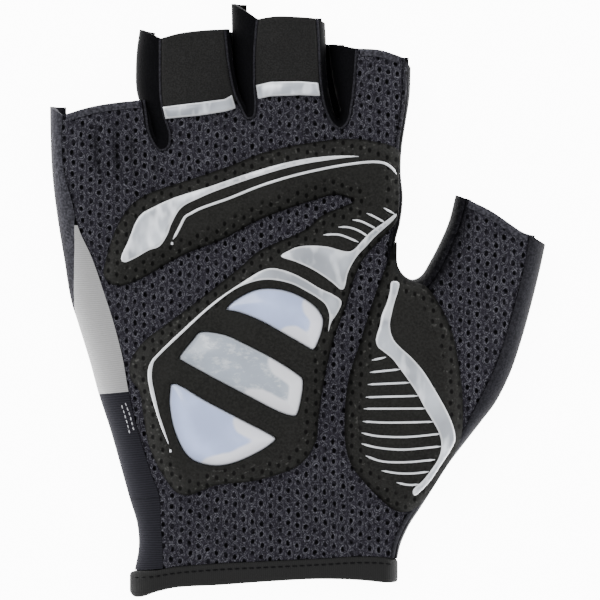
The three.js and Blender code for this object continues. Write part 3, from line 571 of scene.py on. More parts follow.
class GloveColours(bpy.types.PropertyGroup):
    """Colours of the glove's materials."""

    mesh_dark: colour("Mesh yarn", "Shaded yarn of the air mesh", (0.0135, 0.0126, 0.017))
    mesh_light: colour("Mesh glint", "Lit yarn of the air mesh", (0.115, 0.115, 0.134))
    mesh_shadow: colour("Mesh shadow", "Air mesh beside a sewn edge", (0.0006, 0.0006, 0.001))
    hole: colour("Hole", "Bottom of a mesh hole", (0.0003, 0.0003, 0.0005))
    stretch: colour("Stretch cloth", "Walls between the fingers", (0.0026, 0.0026, 0.0032))
    wrap: colour("Side wrap", "Speckled strip down the outer side", (0.032, 0.0315, 0.038))
    strip: colour("Thumb strip", "Strip up the thumb's outer side", (0.016, 0.01575, 0.019))
    gusset: colour("Gusset", "Light ribbed gusset", (0.26, 0.26, 0.262))
    elastic: colour("Elastic", "Dark ribbed elastic and binding", (0.0145, 0.0143, 0.0182))
    binding: colour("Binding", "Folded cuff binding", (0.0165, 0.0165, 0.0165))
    tab: colour("Tab cloth", "Cloth of the pull tabs", (0.0135, 0.0135, 0.0133))
    suede: colour("Suede", "Pads", (0.0115, 0.0115, 0.0108))
    silver: colour("Silver", "Prints and grip strips", (0.32, 0.345, 0.385))
    # Painted highlight: bright streaks that stand in for the lamps' gloss on the silver
    silver_highlight: colour("Silver streak", "Bright streaks in the silver", (0.68, 0.71, 0.76))
    # Painted highlight along the rims of the silver prints
    silver_rim_highlight: colour("Silver rim", "Rims of the silver prints", (0.62, 0.63, 0.65))
    gel: colour("Gel", "Upper and lower gel windows", (0.36, 0.44, 0.7))
    grey_gel: colour("Grey gel", "Middle gel window", (0.27, 0.31, 0.37))
    # Painted highlight: a pale band along one side of the gel
    gel_highlight: colour("Gel band", "Pale band along the gel's side", (0.7, 0.7, 0.74))
    # Painted highlight round the gel's rim
    gel_rim_highlight: colour("Gel rim", "Thin rim of the gel", (0.6, 0.62, 0.66))
    gel_mottle: colour("Gel mottle", "Fine bright patches in the gel", (0.6, 0.63, 0.66))
    thread: colour("Dark thread", "Sewing thread on dark cloth", (0.004, 0.004, 0.0045))
    light_thread: colour("Light thread", "Sewing thread that shows", (0.3, 0.3, 0.32))
    floor: colour("Floor", "Plain pale floor", (0.9, 0.9, 0.9))


# Points on the plane


def smooth(points, closed=False):
    """Points on a centripetal Catmull-Rom curve through the given ones.

    Each span is the cubic whose end slopes come from its neighbours, weighed by the square roots of
    the distances between them. An open line is extended by a mirror image at each end.
    """
    points = np.asarray(points, float)
    if closed:
        row = np.concatenate([points[-1:], points, points[:2]])
    else:
        row = np.concatenate([2 * points[:1] - points[1:2], points, 2 * points[-1:] - points[-2:-1]])
    before, start, end, after = row[:-3], row[1:-2], row[2:-1], row[3:]

    def root(a, b):
        return np.sqrt(np.linalg.norm(b - a, axis=1, keepdims=True))

    gap0, gap1, gap2 = root(before, start), root(start, end), root(end, after)
    leave = gap1 * ((start - before) / gap0 - (end - before) / (gap0 + gap1) + (end - start) / gap1)
    reach = gap1 * ((end - start) / gap1 - (after - start) / (gap1 + gap2) + (after - end) / gap2)
    t = (np.arange(PATH_STEPS) / PATH_STEPS)[None, :, None]
    start, end, leave, reach = (a[:, None] for a in (start, end, leave, reach))
    line = (
        start * (2 * t**3 - 3 * t**2 + 1)
        + leave * (t**3 - 2 * t**2 + t)
        + end * (3 * t**2 - 2 * t**3)
        + reach * (t**3 - t**2)
    ).reshape(-1, 2)
    return line if closed else np.concatenate([line, points[-1:]])


def right_normals(points, closed=False):
    """Unit vectors at right angles to a line of points, on the right of its way."""
    if closed:
        way = np.roll(points, -1, 0) - np.roll(points, 1, 0)
    else:
        way = np.gradient(points, axis=0)
    way = way / np.linalg.norm(way, axis=1, keepdims=True)
    return np.stack([way[:, 1], -way[:, 0]], axis=1)


def shifted_right(points, distance, closed=False):
    """A line moved to the right of its way, along its normals."""
    return points + right_normals(points, closed) * distance


def depth_inside(outline, points, block=4000):
    """How deep each point lies inside a closed outline: its distance from the nearest side, which is
    negative where a line drawn to the right crosses the outline an even number of times."""
    ends = np.roll(outline, -1, 0)
    way = ends - outline
    squared = np.maximum((way**2).sum(1), NEARLY_ZERO)
    rise = np.where(way[:, 1] == 0, NEARLY_ZERO, way[:, 1])
    depth = np.empty(len(points))
    for first in range(0, len(points), block):
        here = points[first:first + block, None]
        share = np.clip(((here - outline) * way).sum(-1) / squared, 0, 1)
        gap = here - (outline + share[..., None] * way)
        distance = np.sqrt((gap**2).sum(-1).min(1))
        spans = (outline[:, 1] > here[..., 1]) != (ends[:, 1] > here[..., 1])
        reached = here[..., 0] < outline[:, 0] + way[:, 0] * (here[..., 1] - outline[:, 1]) / rise
        inside = (spans & reached).sum(1) % 2 == 1
        depth[first:first + block] = np.where(inside, distance, -distance)
    return depth


def height_of_line(line, x):
    """The y of a line at x, held at the line's ends."""
    order = np.argsort(line[:, 0])
    return np.interp(x, line[order, 0], line[order, 1])


def evenly(line, step):
    """Points at even steps along a line."""
    gone = np.concatenate([[0], np.cumsum(np.linalg.norm(np.diff(line, axis=0), axis=1))])
    places = np.linspace(0, gone[-1], max(2, round(gone[-1] / step) + 1))
    return np.stack([np.interp(places, gone, line[:, i]) for i in range(line.shape[1])], axis=1)


def evenly_closed(outline, step):
    """Points at even steps round a closed outline."""
    return evenly(np.concatenate([outline, outline[:1]]), step)[:-1]


def signed_area(outline):
    """The area within a closed outline, which is negative where it runs clockwise."""
    after = np.roll(outline, -1, 0)
    return (outline[:, 0] * after[:, 1] - outline[:, 1] * after[:, 0]).sum() / 2


def turned_down(depth, width, drop):
    """How far cloth turns down at a rim: a quarter circle, squeezed to a width and a drop."""
    share = np.clip(1 - depth / width, 0, 1)
    return drop * (1 - np.sqrt(1 - share**2))


def hex_grid(low, high, step):
    """Points of a triangular grid over a box."""
    xs = np.arange(low[0], high[0], step)
    ys = np.arange(low[1], high[1], step * math.sqrt(0.75))
    grid = np.stack(np.meshgrid(xs, ys), axis=-1)
    grid[1::2, :, 0] += step / 2
    return grid.reshape(-1, 2)


class Path:
    """An edge path: the widest line of a wall, the seam at the palm side, and the inward way."""

    def __init__(self, widest, seam, inward):
        self.widest = widest
        self.seam = seam
        self.inward = inward

    def part(self, first, last=None):
        """The stretch between two samples, both included."""
        cut = slice(first, None if last is None else last + 1)
        return Path(self.widest[cut], self.seam[cut], self.inward[cut])


class GloveForm:
    """The glove's lines and heights, worked out from its sizes."""

    def __init__(self, sizes):
        self.sizes = sizes
        pad_low, pad_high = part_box("palm_pad")
        self.origin = np.array([
            pad_low.x - min(across for across, along in PALM_PAD) * sizes.glove_width,
            pad_high.y - max(along for across, along in PALM_PAD) * sizes.glove_length,
        ])
        self.outer_side = self.path(OUTER_SIDE)
        self.little_ring = self.path(LITTLE_RING)
        self.ring_middle = self.path(RING_MIDDLE)
        self.middle_index = self.path(MIDDLE_INDEX)
        self.index_thumb = self.path(INDEX_THUMB)
        self.thumb_wrist = self.path(THUMB_WRIST)
        self.cuff_upper = self.curve([(a, up) for a, up, low in CUFF])
        self.cuff_lower = self.curve([(a, low) for a, up, low in CUFF])
        self.palm_pad = self.curve(PALM_PAD, closed=True)
        self.thumb_pad = self.curve(THUMB_PAD, closed=True)
        self.windows = {name: self.curve(rows, closed=True) for name, rows in GEL_WINDOWS.items()}
        self.ring_seam = self.curve(RING_TAB_SEAM)
        self.middle_seam = self.curve(MIDDLE_TAB_SEAM)
        ends = (
            self.index_thumb.seam[self.at(THUMB_SEAM_START)],
            self.thumb_wrist.seam[self.at(THUMB_SEAM_END)],
        )
        row = np.concatenate([ends[:1], self.places(THUMB_SEAM), ends[1:]])
        self.thumb_seam = smooth(row)
        self.little_inner, self.ring_outer = self.halves(self.little_ring)
        self.ring_inner, self.middle_outer = self.halves(self.ring_middle)
        self.middle_inner, self.index_inner = self.halves(self.middle_index)
        index_thumb = self.seam_line(self.index_thumb)
        side_end = self.seam_line(self.outer_side)[-1]
        strip_start = self.seam_line(self.thumb_wrist)[0]
        self.tops = {
            "little": self.top_edge(side_end, LITTLE_TOP, self.little_inner[0]),
            "index": self.top_edge(self.index_inner[-1], INDEX_TOP, index_thumb[0]),
            "thumb": self.top_edge(index_thumb[-1], THUMB_TOP, strip_start),
            "ring": self.top_edge(self.ring_outer[-1], RING_TOP, self.ring_inner[0]),
            "middle": self.top_edge(self.middle_outer[-1], MIDDLE_TOP, self.middle_inner[0]),
        }

    def at(self, station):
        """The sample at a station of a path."""
        return round(station * PATH_STEPS)

    def places(self, rows):
        """Shares of the glove's width and length as points on the plane."""
        return self.origin + np.array(rows) * (self.sizes.glove_width, self.sizes.glove_length)

    def curve(self, rows, closed=False):
        """A smooth line through shares of the glove's width and length."""
        return smooth(self.places(rows), closed)

    def path(self, rows):
        """Two smooth lines, with the right-hand normals of the first, which point into the glove."""
        rows = np.array(rows)
        widest = self.curve(rows[:, :2])
        seam = self.curve(rows[:, 2:])
        return Path(widest, seam, right_normals(widest))

    def palm_height(self, points):
        """Height of the palm side over the back: the seams' height, and for each bulge its own
        height times the square of one minus the squared elliptic distance from its centre."""
        height = np.full(len(points), self.sizes.seam_height)
        for across, along, half_width, half_length, turn, rise in BULGES:
            local = points - self.places([(across, along)])
            angle = math.radians(turn)
            over = local[:, 0] * math.cos(angle) + local[:, 1] * math.sin(angle)
            up = local[:, 1] * math.cos(angle) - local[:, 0] * math.sin(angle)
            reach = (over / (half_width * self.sizes.glove_width)) ** 2
            reach += (up / (half_length * self.sizes.glove_width)) ** 2
            height += rise * self.sizes.palm_rise * np.clip(1 - reach, 0, None) ** 2
        return height

    def wall_points(self, path, turns, depth):
        """Points of a wall. A turn of -1 is the back seam, 0 the widest line and 1 the upper seam;
        each quarter is part of an ellipse, and depth goes into the cloth from its outer face."""
        sizes = self.sizes
        angle = turns * math.pi / 2
        below = turns < 0
        upper_rise = (self.palm_height(path.seam) - sizes.edge_height)[:, None]
        rise = np.where(below, sizes.edge_height, upper_rise)
        reach = np.where(
            below[..., None],
            path.inward[:, None] * sizes.lower_inset,
            (path.seam - path.widest)[:, None],
        )
        flat = path.widest[:, None] + reach * (1 - np.cos(angle))[..., None]
        flat = flat + path.inward[:, None] * (depth * np.cos(angle))[..., None]
        height = sizes.edge_height + (rise - depth) * np.sin(angle)
        return np.concatenate([flat, height[..., None]], axis=-1)

    def halves(self, path):
        """A crotch's seam as its way down and its way up again."""
        line = self.seam_line(path)
        lowest = int(np.argmin(line[:, 1]))
        return line[:lowest + 1], line[lowest + 1:]

    def seam_line(self, path, first=0, last=None):
        """A path's seam, moved inward by the seam gap."""
        line = shifted_right(path.seam, self.sizes.seam_gap)
        return line[first:] if last is None else line[first:last + 1]

    def above(self, line, seam):
        """The points of a line that lie over a seam by more than the gap."""
        return line[line[:, 1] > height_of_line(seam, line[:, 0]) + self.sizes.seam_gap]

    def below(self, line, seam):
        """The points of a line that lie under a seam by more than the gap."""
        return line[line[:, 1] < height_of_line(seam, line[:, 0]) - self.sizes.seam_gap]

    def tab_edge(self, seam, side):
        """The inner points of a tab seam, half a gap above it (side 1) or below it (side -1)."""
        return seam[2:-2] + (0, side * self.sizes.seam_gap / 2)

    def top_edge(self, before, rows, after):
        """A free edge as a smooth line from the last point of one path to the first of the next."""
        row = np.concatenate([before[None], self.places(rows), after[None]])
        return smooth(row)[1:-1]

    def cuff_line(self, right, left):
        """The line just above the binding, from right to left."""
        xs = np.linspace(right, left, CUFF_LINE_SAMPLES)[1:-1]
        return np.stack([xs, height_of_line(self.cuff_upper, xs) + self.sizes.seam_gap], axis=1)

    def palm_outline(self):
        """Up the outer side, round the fingers, down the thumb's seam to the wrist, and along the cuff."""
        wrist = self.seam_line(self.thumb_wrist, self.at(THUMB_SEAM_END) + 1)
        side = self.seam_line(self.outer_side)
        return np.concatenate([
            side,
            self.tops["little"],
            self.little_inner,
            self.below(self.ring_outer, self.ring_seam),
            self.tab_edge(self.ring_seam, -1),
            self.below(self.ring_inner, self.ring_seam),
            self.below(self.middle_outer, self.middle_seam),
            self.tab_edge(self.middle_seam, -1),
            self.below(self.middle_inner, self.middle_seam),
            self.index_inner,
            self.tops["index"],
            self.seam_line(self.index_thumb, 0, self.at(THUMB_SEAM_START) - 1),
            shifted_right(self.thumb_seam, self.sizes.seam_gap / 2)[1:-1],
            wrist,
            self.cuff_line(wrist[-1, 0], side[0, 0]),
        ])

    def thumb_outline(self):
        """Up the thumb's inner side, over its tip, down its outer side and back."""
        return np.concatenate([
            self.seam_line(self.index_thumb, self.at(THUMB_SEAM_START) + 1),
            self.tops["thumb"],
            self.seam_line(self.thumb_wrist, 0, self.at(THUMB_SEAM_END) - 1),
            shifted_right(self.thumb_seam, -self.sizes.seam_gap / 2)[1:-1][::-1],
        ])

    def tab_outline(self, left, right, seam, top):
        """Up one side of a finger, over its tip, down the other side and back along the tab's seam."""
        return np.concatenate([
            self.above(left, seam), top, self.above(right, seam), self.tab_edge(seam, 1)[::-1],
        ])

    def back_outline(self):
        """The back seams of all six paths, each without half a span at its ends, and the cuff."""
        paths = (
            self.outer_side, self.little_ring, self.ring_middle,
            self.middle_index, self.index_thumb, self.thumb_wrist,
        )
        short = PATH_STEPS // 2
        lines = [
            shifted_right(p.widest + p.inward * self.sizes.lower_inset, self.sizes.seam_gap)[short:-short]
            for p in paths
        ]
        return np.concatenate([*lines, self.cuff_line(lines[-1][-1, 0], lines[0][0, 0])])

    def web_outline(self, path, stations):
        """The outline of a web, which reaches a little under the walls beside it."""
        first, last = stations
        return (path.widest + path.inward * self.sizes.web_reach)[self.at(first):self.at(last) + 1]

    def wrap_reach(self):
        """How far round the wall the wrap goes at each sample of the outer side: none up to its foot,
        then the share of the way to the gusset's tip."""
        index = np.arange(len(self.outer_side.widest))
        foot, tip = self.at(WRAP_FOOT), self.at(GUSSET_TIP)
        return np.clip((index - foot) / (tip - foot), 0, 1)

    def fold_depth(self, points):
        """How deep points lie in the soft folds, in metres: a bell curve across each fold's line that
        fades out towards its ends."""
        depth = np.zeros(len(points))
        for rows, width, deep in FOLDS:
            line = evenly(self.curve(rows), SEAM_STEP)
            gap = np.linalg.norm(points[:, None] - line[None], axis=2)
            share = gap.argmin(1) / (len(line) - 1)
            bell = np.exp(-((gap.min(1) / width) ** 2)) * np.clip(4 * share * (1 - share), 0, 1)
            depth = np.maximum(depth, deep * bell)
        return depth

    def dome(self, depth, edge, crown, roll):
        """Thickness of a pad that is thin at its rim and rises as a sine over its rolled rim."""
        share = np.clip(depth / roll, 0, 1)
        return edge + (crown - edge) * np.sin(share * math.pi / 2)

    def pad_top(self, outline, points):
        """Height of a pad's upper face. Its outermost cloth turns down to the rim."""
        sizes = self.sizes
        depth = depth_inside(outline, points)
        thick = self.dome(depth, sizes.pad_edge, sizes.pad_crown, sizes.pad_roll)
        thick -= turned_down(depth, sizes.pad_edge, PAD_DROP * sizes.pad_edge)
        return self.palm_height(points) + sizes.pad_gap + thick

    def hole_reach(self, points):
        """Distance from the nearest hole of the mesh, 1 at the hole's rim. Each column of holes lies
        a little lower than the last, and each hole is a little off its place."""
        away = (points - self.nearest_hole(points)) / (self.sizes.hole_width, self.sizes.hole_length)
        return np.linalg.norm(away, axis=1)

    def nearest_hole(self, points):
        """The centre of the hole that each point belongs to."""
        column = np.round(points[:, 0] / self.sizes.hole_across)
        row = np.round(points[:, 1] / self.sizes.hole_along + column * COLUMN_DROP)
        return self.hole_centre(column, row)

    def hole_centre(self, column, row):
        """A grid of even pitches, whose columns drop in turn, plus a sine of column and row as stray."""
        sizes = self.sizes
        stray = np.stack([np.sin(column * a + row * b) for a, b in STRAY_WAVES], axis=-1)
        x = column * sizes.hole_across
        y = (row - column * COLUMN_DROP) * sizes.hole_along
        return np.stack([x, y], axis=-1) + stray * HOLE_STRAY * sizes.hole_across


# Bodies from arrays


def signed_volume(points, faces):
    """Six times the volume within the faces, which is negative where they point in."""
    corners = points[faces]
    volume = 0
    for i in range(1, faces.shape[1] - 1):
        volume += (corners[:, 0] * np.cross(corners[:, i], corners[:, i + 1])).sum()
    return volume


def lofted(rings, closed=False):
    """A closed body through equal rings of points. The two open ends are capped with strips between
    the outer and the inner half of the ring."""
    count, size = rings.shape[:2]
    points = rings.reshape(-1, 3)
    spans = count if closed else count - 1
    here = np.arange(spans)[:, None] * size
    there = ((np.arange(spans) + 1) % count)[:, None] * size
    j = np.arange(size)[None, :]
    k = (j + 1) % size
    faces = np.stack([here + j, here + k, there + k, there + j], axis=-1).reshape(-1, 4)
    if not closed:
        j = np.arange(size // 2 - 1)
        mirror = size - 1 - j
        start = np.stack([j, mirror, mirror - 1, j + 1], axis=1)
        end = (count - 1) * size + np.stack([j, j + 1, mirror - 1, mirror], axis=1)
        faces = np.concatenate([faces, start, end])
    if signed_volume(points, faces) < 0:
        faces = faces[:, ::-1]
    return points, [faces]


def slab(outline, inner, top, bottom, holes=()):
    """A closed body over an outline: the points inside it are joined into triangles, lifted to the
    top height and to the bottom height, and the sides are closed along the open edges."""
    loops = [outline, *holes]
    points = np.concatenate([*loops, inner])
    edges = []
    first = 0
    for loop in loops:
        edges += [(first + i, first + (i + 1) % len(loop)) for i in range(len(loop))]
        first += len(loop)
    corners = [Vector(point) for point in points.tolist()]
    found = geometry.delaunay_2d_cdt(corners, edges, [], 1, MERGE_DISTANCE)
    flat = np.array([(v.x, v.y) for v in found[0]])
    faces = np.array([list(f) for f in found[2]])
    side_a = flat[faces[:, 1]] - flat[faces[:, 0]]
    side_b = flat[faces[:, 2]] - flat[faces[:, 0]]
    area = side_a[:, 0] * side_b[:, 1] - side_a[:, 1] * side_b[:, 0]
    faces[area < 0] = faces[area < 0][:, ::-1]
    middle = flat[faces].mean(1)
    keep = np.abs(area) > LEAST_AREA
    for hole in holes:
        keep &= depth_inside(hole, middle) < 0
    faces = faces[keep]
    a, b = faces.ravel(), np.roll(faces, -1, axis=1).ravel()
    count = len(flat)
    lone = ~np.isin(a * count + b, b * count + a)
    a, b = a[lone], b[lone]
    sides = np.stack([b, a, a + count, b + count], axis=1)
    upper = np.column_stack([flat, top(flat)])
    lower = np.column_stack([flat, bottom(flat)])
    return np.concatenate([upper, lower]), [faces, faces[:, ::-1] + count, sides]


def inset_rings(outline, distances, spacing):
    """Rows of points at set depths inside an outline, without those that fall near another side."""
    rows = []
    for distance in distances:
        ring = evenly_closed(shifted_right(outline, distance, closed=True), spacing)
        rows.append(ring[depth_inside(outline, ring) > distance * LEAST_ROW_DEPTH])
    return np.concatenate(rows)


def inner_points(outline, step, margin, holes=()):
    """A triangular grid inside an outline, at least a margin from its sides."""
    grid = hex_grid(outline.min(0), outline.max(0), step)
    keep = depth_inside(outline, grid) > margin
    for hole in holes:
        keep &= depth_inside(hole, grid) < -margin
    return grid[keep]


def filled(outline, filling, holes=(), hole_rows=()):
    """The inner points of a slab: rows along its edge, rows round its holes and a grid within."""
    rows, spacing, step, margin = filling
    return np.concatenate([
        inset_rings(outline, rows, spacing),
        *(inset_rings(hole[::-1], hole_rows, spacing) for hole in holes),
        inner_points(outline, step, margin, holes),
    ])


def plate(outline, step, low, high):
    """A flat sheet between two heights."""
    inner = inner_points(outline, step, PLATE_MARGIN)
    return slab(outline, inner, lambda p: np.full(len(p), high), lambda p: np.full(len(p), low))


def ribbon(line, width, thickness, surface, sink=0.0001, across=9):
    """A closed band laid along a line on a surface: each section rises from the band's edges as the
    square root of a half circle, and goes back along its foot."""
    share = np.sin(np.linspace(-math.pi / 2, math.pi / 2, across))
    width = np.broadcast_to(width, len(line))[:, None]
    offset = share[None, :] * width / 2
    flat = line[:, None] + right_normals(line)[:, None] * offset[..., None]
    base = surface(flat.reshape(-1, 2)).reshape(len(line), across)
    top = base + thickness * (1 - share**2) ** 0.25
    over = np.concatenate([flat, top[..., None]], axis=-1)
    under = np.concatenate([flat, (base - sink)[..., None]], axis=-1)
    return lofted(np.concatenate([over, under[:, ::-1]], axis=1))


def joined(bodies):
    """Several bodies as one list of points and one list of face groups."""
    points, groups, first = [], [], 0
    for body_points, body_groups in bodies:
        points.append(body_points)
        groups += [g + first for g in body_groups]
        first += len(body_points)
    return np.concatenate(points), groups


def beads(centres, ways, half_length, radius, rings=4, spokes=6):
    """Closed, rounded grains, one per centre: circles whose size follows a half circle from pole to
    pole along the grain's way, so that each looks like one pulled stitch."""
    ways = ways / np.linalg.norm(ways, axis=1, keepdims=True)
    sides = np.cross(ways, (0, 0, 1))
    sides /= np.linalg.norm(sides, axis=1, keepdims=True)
    ups = np.cross(sides, ways)
    angles = np.linspace(0, math.pi, rings + 2)[1:-1]
    turn = np.linspace(0, 2 * math.pi, spokes, endpoint=False)
    shape = [[-half_length, 0, 0]]
    for angle in angles:
        for spoke in turn:
            size = radius * math.sin(angle) ** 0.5
            shape.append([-half_length * math.cos(angle), size * math.cos(spoke), size * math.sin(spoke)])
    shape = np.array([*shape, [half_length, 0, 0]])
    points = (
        centres[:, None]
        + ways[:, None] * shape[None, :, :1]
        + sides[:, None] * shape[None, :, 1:2]
        + ups[:, None] * shape[None, :, 2:]
    )
    spoke = np.arange(spokes)
    after = (spoke + 1) % spokes
    last = len(shape) - 1
    first_fan = np.stack([np.zeros_like(spoke), 1 + after, 1 + spoke], axis=1)
    end = last - spokes
    last_fan = np.stack([np.full_like(spoke, last), end + spoke, end + after], axis=1)
    bands = np.concatenate([
        np.stack([first + spoke, first + after, first + spokes + after, first + spokes + spoke], axis=1)
        for first in range(1, 1 + (rings - 1) * spokes, spokes)
    ])
    starts = (np.arange(len(centres)) * len(shape))[:, None, None]
    fans = (np.concatenate([first_fan, last_fan])[None] + starts).reshape(-1, 3)
    quads = (bands[None] + starts).reshape(-1, 4)
    if signed_volume(points[0], bands) < 0:
        quads = quads[:, ::-1]
    if signed_volume(points[0], np.concatenate([first_fan, last_fan])) < 0:
        fans = fans[:, ::-1]
    return points.reshape(-1, 3), [fans, quads]


def make_piece(context, name, body, finish, replaces=(), fields=None, sharp=SHARP):
    """Makes a piece's object, gives it its finish, and lets it ride on the glove."""
    points, groups = body
    mesh = bpy.data.meshes.new(name)
    corners = np.concatenate([g.ravel() for g in groups])
    sizes = np.concatenate([np.full(len(g), g.shape[1]) for g in groups])
    mesh.vertices.add(len(points))
    mesh.vertices.foreach_set("co", points.astype(np.float32).ravel())
    mesh.loops.add(len(corners))
    mesh.loops.foreach_set("vertex_index", corners.astype(np.int32))
    mesh.polygons.add(len(sizes))
    mesh.polygons.foreach_set("loop_start", (np.cumsum(sizes) - sizes).astype(np.int32))
    mesh.polygons.foreach_set("use_smooth", np.ones(len(sizes), bool))
    mesh.update(calc_edges=True)
    mesh.validate()
    mesh.set_sharp_from_angle(angle=math.radians(sharp))
    for field, values in (fields or {}).items():
        attribute = mesh.attributes.new(field, "FLOAT", "POINT")
        attribute.data.foreach_set("value", np.asarray(values, np.float32))
    mesh.materials.append(material(context, finish))
    piece = bpy.data.objects.new(PIECE_PREFIX + name if replaces else name, mesh)
    bpy.context.scene.collection.objects.link(piece)
    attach(piece, BODY)
    if replaces:
        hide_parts(*replaces)
    return piece


# Materials


class Socket:
    """An output of a node that takes part in arithmetic by adding Math nodes."""

    def __init__(self, graph, output):
        self.graph = graph
        self.output = output

    def math(self, operation, *others):
        """Adds a Math node of this socket and others."""
        inputs = dict(enumerate((self, *others)))
        return self.graph.node("ShaderNodeMath", inputs, operation=operation)

    def __add__(self, other):
        return self.math("ADD", other)

    def __sub__(self, other):
        return self.math("SUBTRACT", other)

    def __mul__(self, other):
        return self.math("MULTIPLY", other)

    def __truediv__(self, other):
        return self.math("DIVIDE", other)

    def __rsub__(self, other):
        return self * -1 + other

    __radd__ = __add__
    __rmul__ = __mul__

    def stepped(self, low, high):
        """0 below the low value, 1 above the high one, smooth between; low may be the larger."""
        inputs = {"Value": self, "From Min": low, "From Max": high}
        return self.graph.node("ShaderNodeMapRange", inputs, interpolation_type="SMOOTHSTEP")


class Graph:
    """The node tree of one material round a Principled shader."""

    def __init__(self, name):
        self.material = bpy.data.materials.new(FINISH_PREFIX + name)
        self.material.use_nodes = True
        self.tree = self.material.node_tree
        self.tree.nodes.clear()
        output = self.tree.nodes.new("ShaderNodeOutputMaterial")
        self.shader = self.tree.nodes.new("ShaderNodeBsdfPrincipled")
        self.tree.links.new(self.shader.outputs[0], output.inputs["Surface"])

    def node(self, kind, inputs, output=0, **options):
        """Adds a node, sets its options and inputs, and returns one of its outputs."""
        node = self.tree.nodes.new(kind)
        for option, value in options.items():
            setattr(node, option, value)
        for key, value in inputs.items():
            self.fill(node.inputs[key], value)
        return Socket(self, node.outputs[output])

    def fill(self, target, value):
        """Links a socket to another, or sets its constant."""
        if isinstance(value, Socket):
            self.tree.links.new(value.output, target)
        else:
            target.default_value = value

    def finish(self, **inputs):
        """Fills the shader's inputs, named with spaces as underscores."""
        for name, value in inputs.items():
            self.fill(self.shader.inputs[name.replace("_", " ")], value)
        return self.material

    def place(self, scale=(1, 1, 1)):
        """Object coordinates times a scale."""
        place = self.node("ShaderNodeTexCoord", {}, output="Object")
        return self.node("ShaderNodeVectorMath", {0: place, 1: scale}, operation="MULTIPLY")

    def field(self, name):
        """A number that the piece carries at each point."""
        return self.node("ShaderNodeAttribute", {}, output="Fac", attribute_name=name)

    def noise(self, scale, stretch=(1, 1, 1), detail=2.0, roughness=0.5):
        """Noise over the object's own coordinates, with its scale in waves to a metre."""
        inputs = {"Vector": self.place(stretch), "Scale": scale, "Detail": detail, "Roughness": roughness}
        return self.node("ShaderNodeTexNoise", inputs, output="Fac")

    def mix(self, share, first, second):
        """Mixes two colours."""
        inputs = {0: share, 6: opaque(first), 7: opaque(second)}
        return self.node("ShaderNodeMix", inputs, output=2, data_type="RGBA")

    def vary(self, share, tint, low, high):
        """Mixes two strengths of one colour."""
        return self.mix(share, scaled(tint, low), scaled(tint, high))

    def bump(self, height, strength, distance):
        """Normals of a height that is scaled to a distance in metres."""
        inputs = {"Height": height, "Strength": strength, "Distance": distance}
        return self.node("ShaderNodeBump", inputs, output="Normal")


def opaque(value):
    """A colour with full alpha, or a socket as it is."""
    return value if isinstance(value, Socket) else (*value, 1)


def scaled(value, share):
    """A colour times a number."""
    return tuple(channel * share for channel in value)


def hole_reach_nodes(graph, sizes, on_wall=False, drift=(0, 0)):
    """The same distance from the nearest hole as GloveForm.hole_reach, as nodes. On a wall the holes
    follow the lengths along it and round it. The drift pulls the holes out of shape."""
    if on_wall:
        x, y = graph.field("along"), graph.field("round")
    else:
        place = graph.place()
        x = graph.node("ShaderNodeSeparateXYZ", {0: place}, output="X")
        y = graph.node("ShaderNodeSeparateXYZ", {0: place}, output="Y")
    column = (x / sizes.hole_across).math("ROUND")
    row = (y / sizes.hole_along + column * COLUMN_DROP).math("ROUND")
    far = HOLE_STRAY * sizes.hole_across
    stray = [(column * a + row * b).math("SINE") * far for a, b in STRAY_WAVES]
    centre_x = column * sizes.hole_across + stray[0]
    centre_y = (row - column * COLUMN_DROP) * sizes.hole_along + stray[1]
    over = (x - centre_x + drift[0]) / sizes.hole_width
    up = (y - centre_y + drift[1]) / sizes.hole_length
    return (over * over + up * up).math("SQRT")


def mesh_material(name, colours, sizes, on_wall):
    """Open knitted mesh: dark yarn with broken rings of lit strands round near-black holes."""
    graph = Graph(name)
    strands = graph.noise(2100, detail=3, roughness=0.65)
    patches = graph.noise(420)
    drift = (
        (graph.noise(560, (1, 0.8, 1), detail=1) - 0.5) * (1.1 * sizes.hole_width),
        (graph.noise(610, (0.8, 1, 1), detail=1) - 0.5) * (1.1 * sizes.hole_length),
    )
    reach = hole_reach_nodes(graph, sizes, on_wall, drift) + (strands - 0.5) * 1.1
    near = reach.stepped(1.0, 1.15) * reach.stepped(1.45, 1.25)
    far = reach.stepped(1.6, 1.72) * reach.stepped(2.05, 1.85)
    broken = (graph.noise(1700, detail=2) + patches * 0.3).stepped(0.5, 0.82)
    lit = (near + far * 0.8) * broken
    fibre = graph.noise(2600, detail=1).stepped(0.35, 0.75)
    yarn = graph.vary(fibre, colours.mesh_dark, 0.6, 1.85)
    yarn = graph.mix(lit, yarn, colours.mesh_light)
    open_share = patches.stepped(0.36, 0.56) * 0.65 + 0.35
    base = graph.mix(reach.stepped(0.95, 0.65) * open_share, yarn, colours.hole)
    base = graph.mix(graph.field("shade"), base, colours.mesh_shadow)
    return graph.finish(
        Base_Color=base,
        Roughness=0.9,
        Specular_IOR_Level=0.05,
        Normal=graph.bump(lit + strands * 0.5, 0.8, 0.0003),
    )


def cloth_material(name, tint, grain, rise, roughness, contrast):
    """Smooth knitted cloth with a fine grain."""
    graph = Graph(name)
    weave = graph.noise(grain, detail=1)
    patches = graph.noise(90)
    base = graph.vary(weave.stepped(0.3, 0.75), tint, 1 - contrast, 1 + contrast)
    base = graph.mix(patches.stepped(0.35, 0.75) * 0.3, base, scaled(tint, 0.7))
    base = graph.mix(graph.field("shade"), base, scaled(tint, 0.1))
    return graph.finish(
        Base_Color=base,
        Roughness=roughness,
        Specular_IOR_Level=0.02,
        Normal=graph.bump(weave, 0.6, rise),
    )


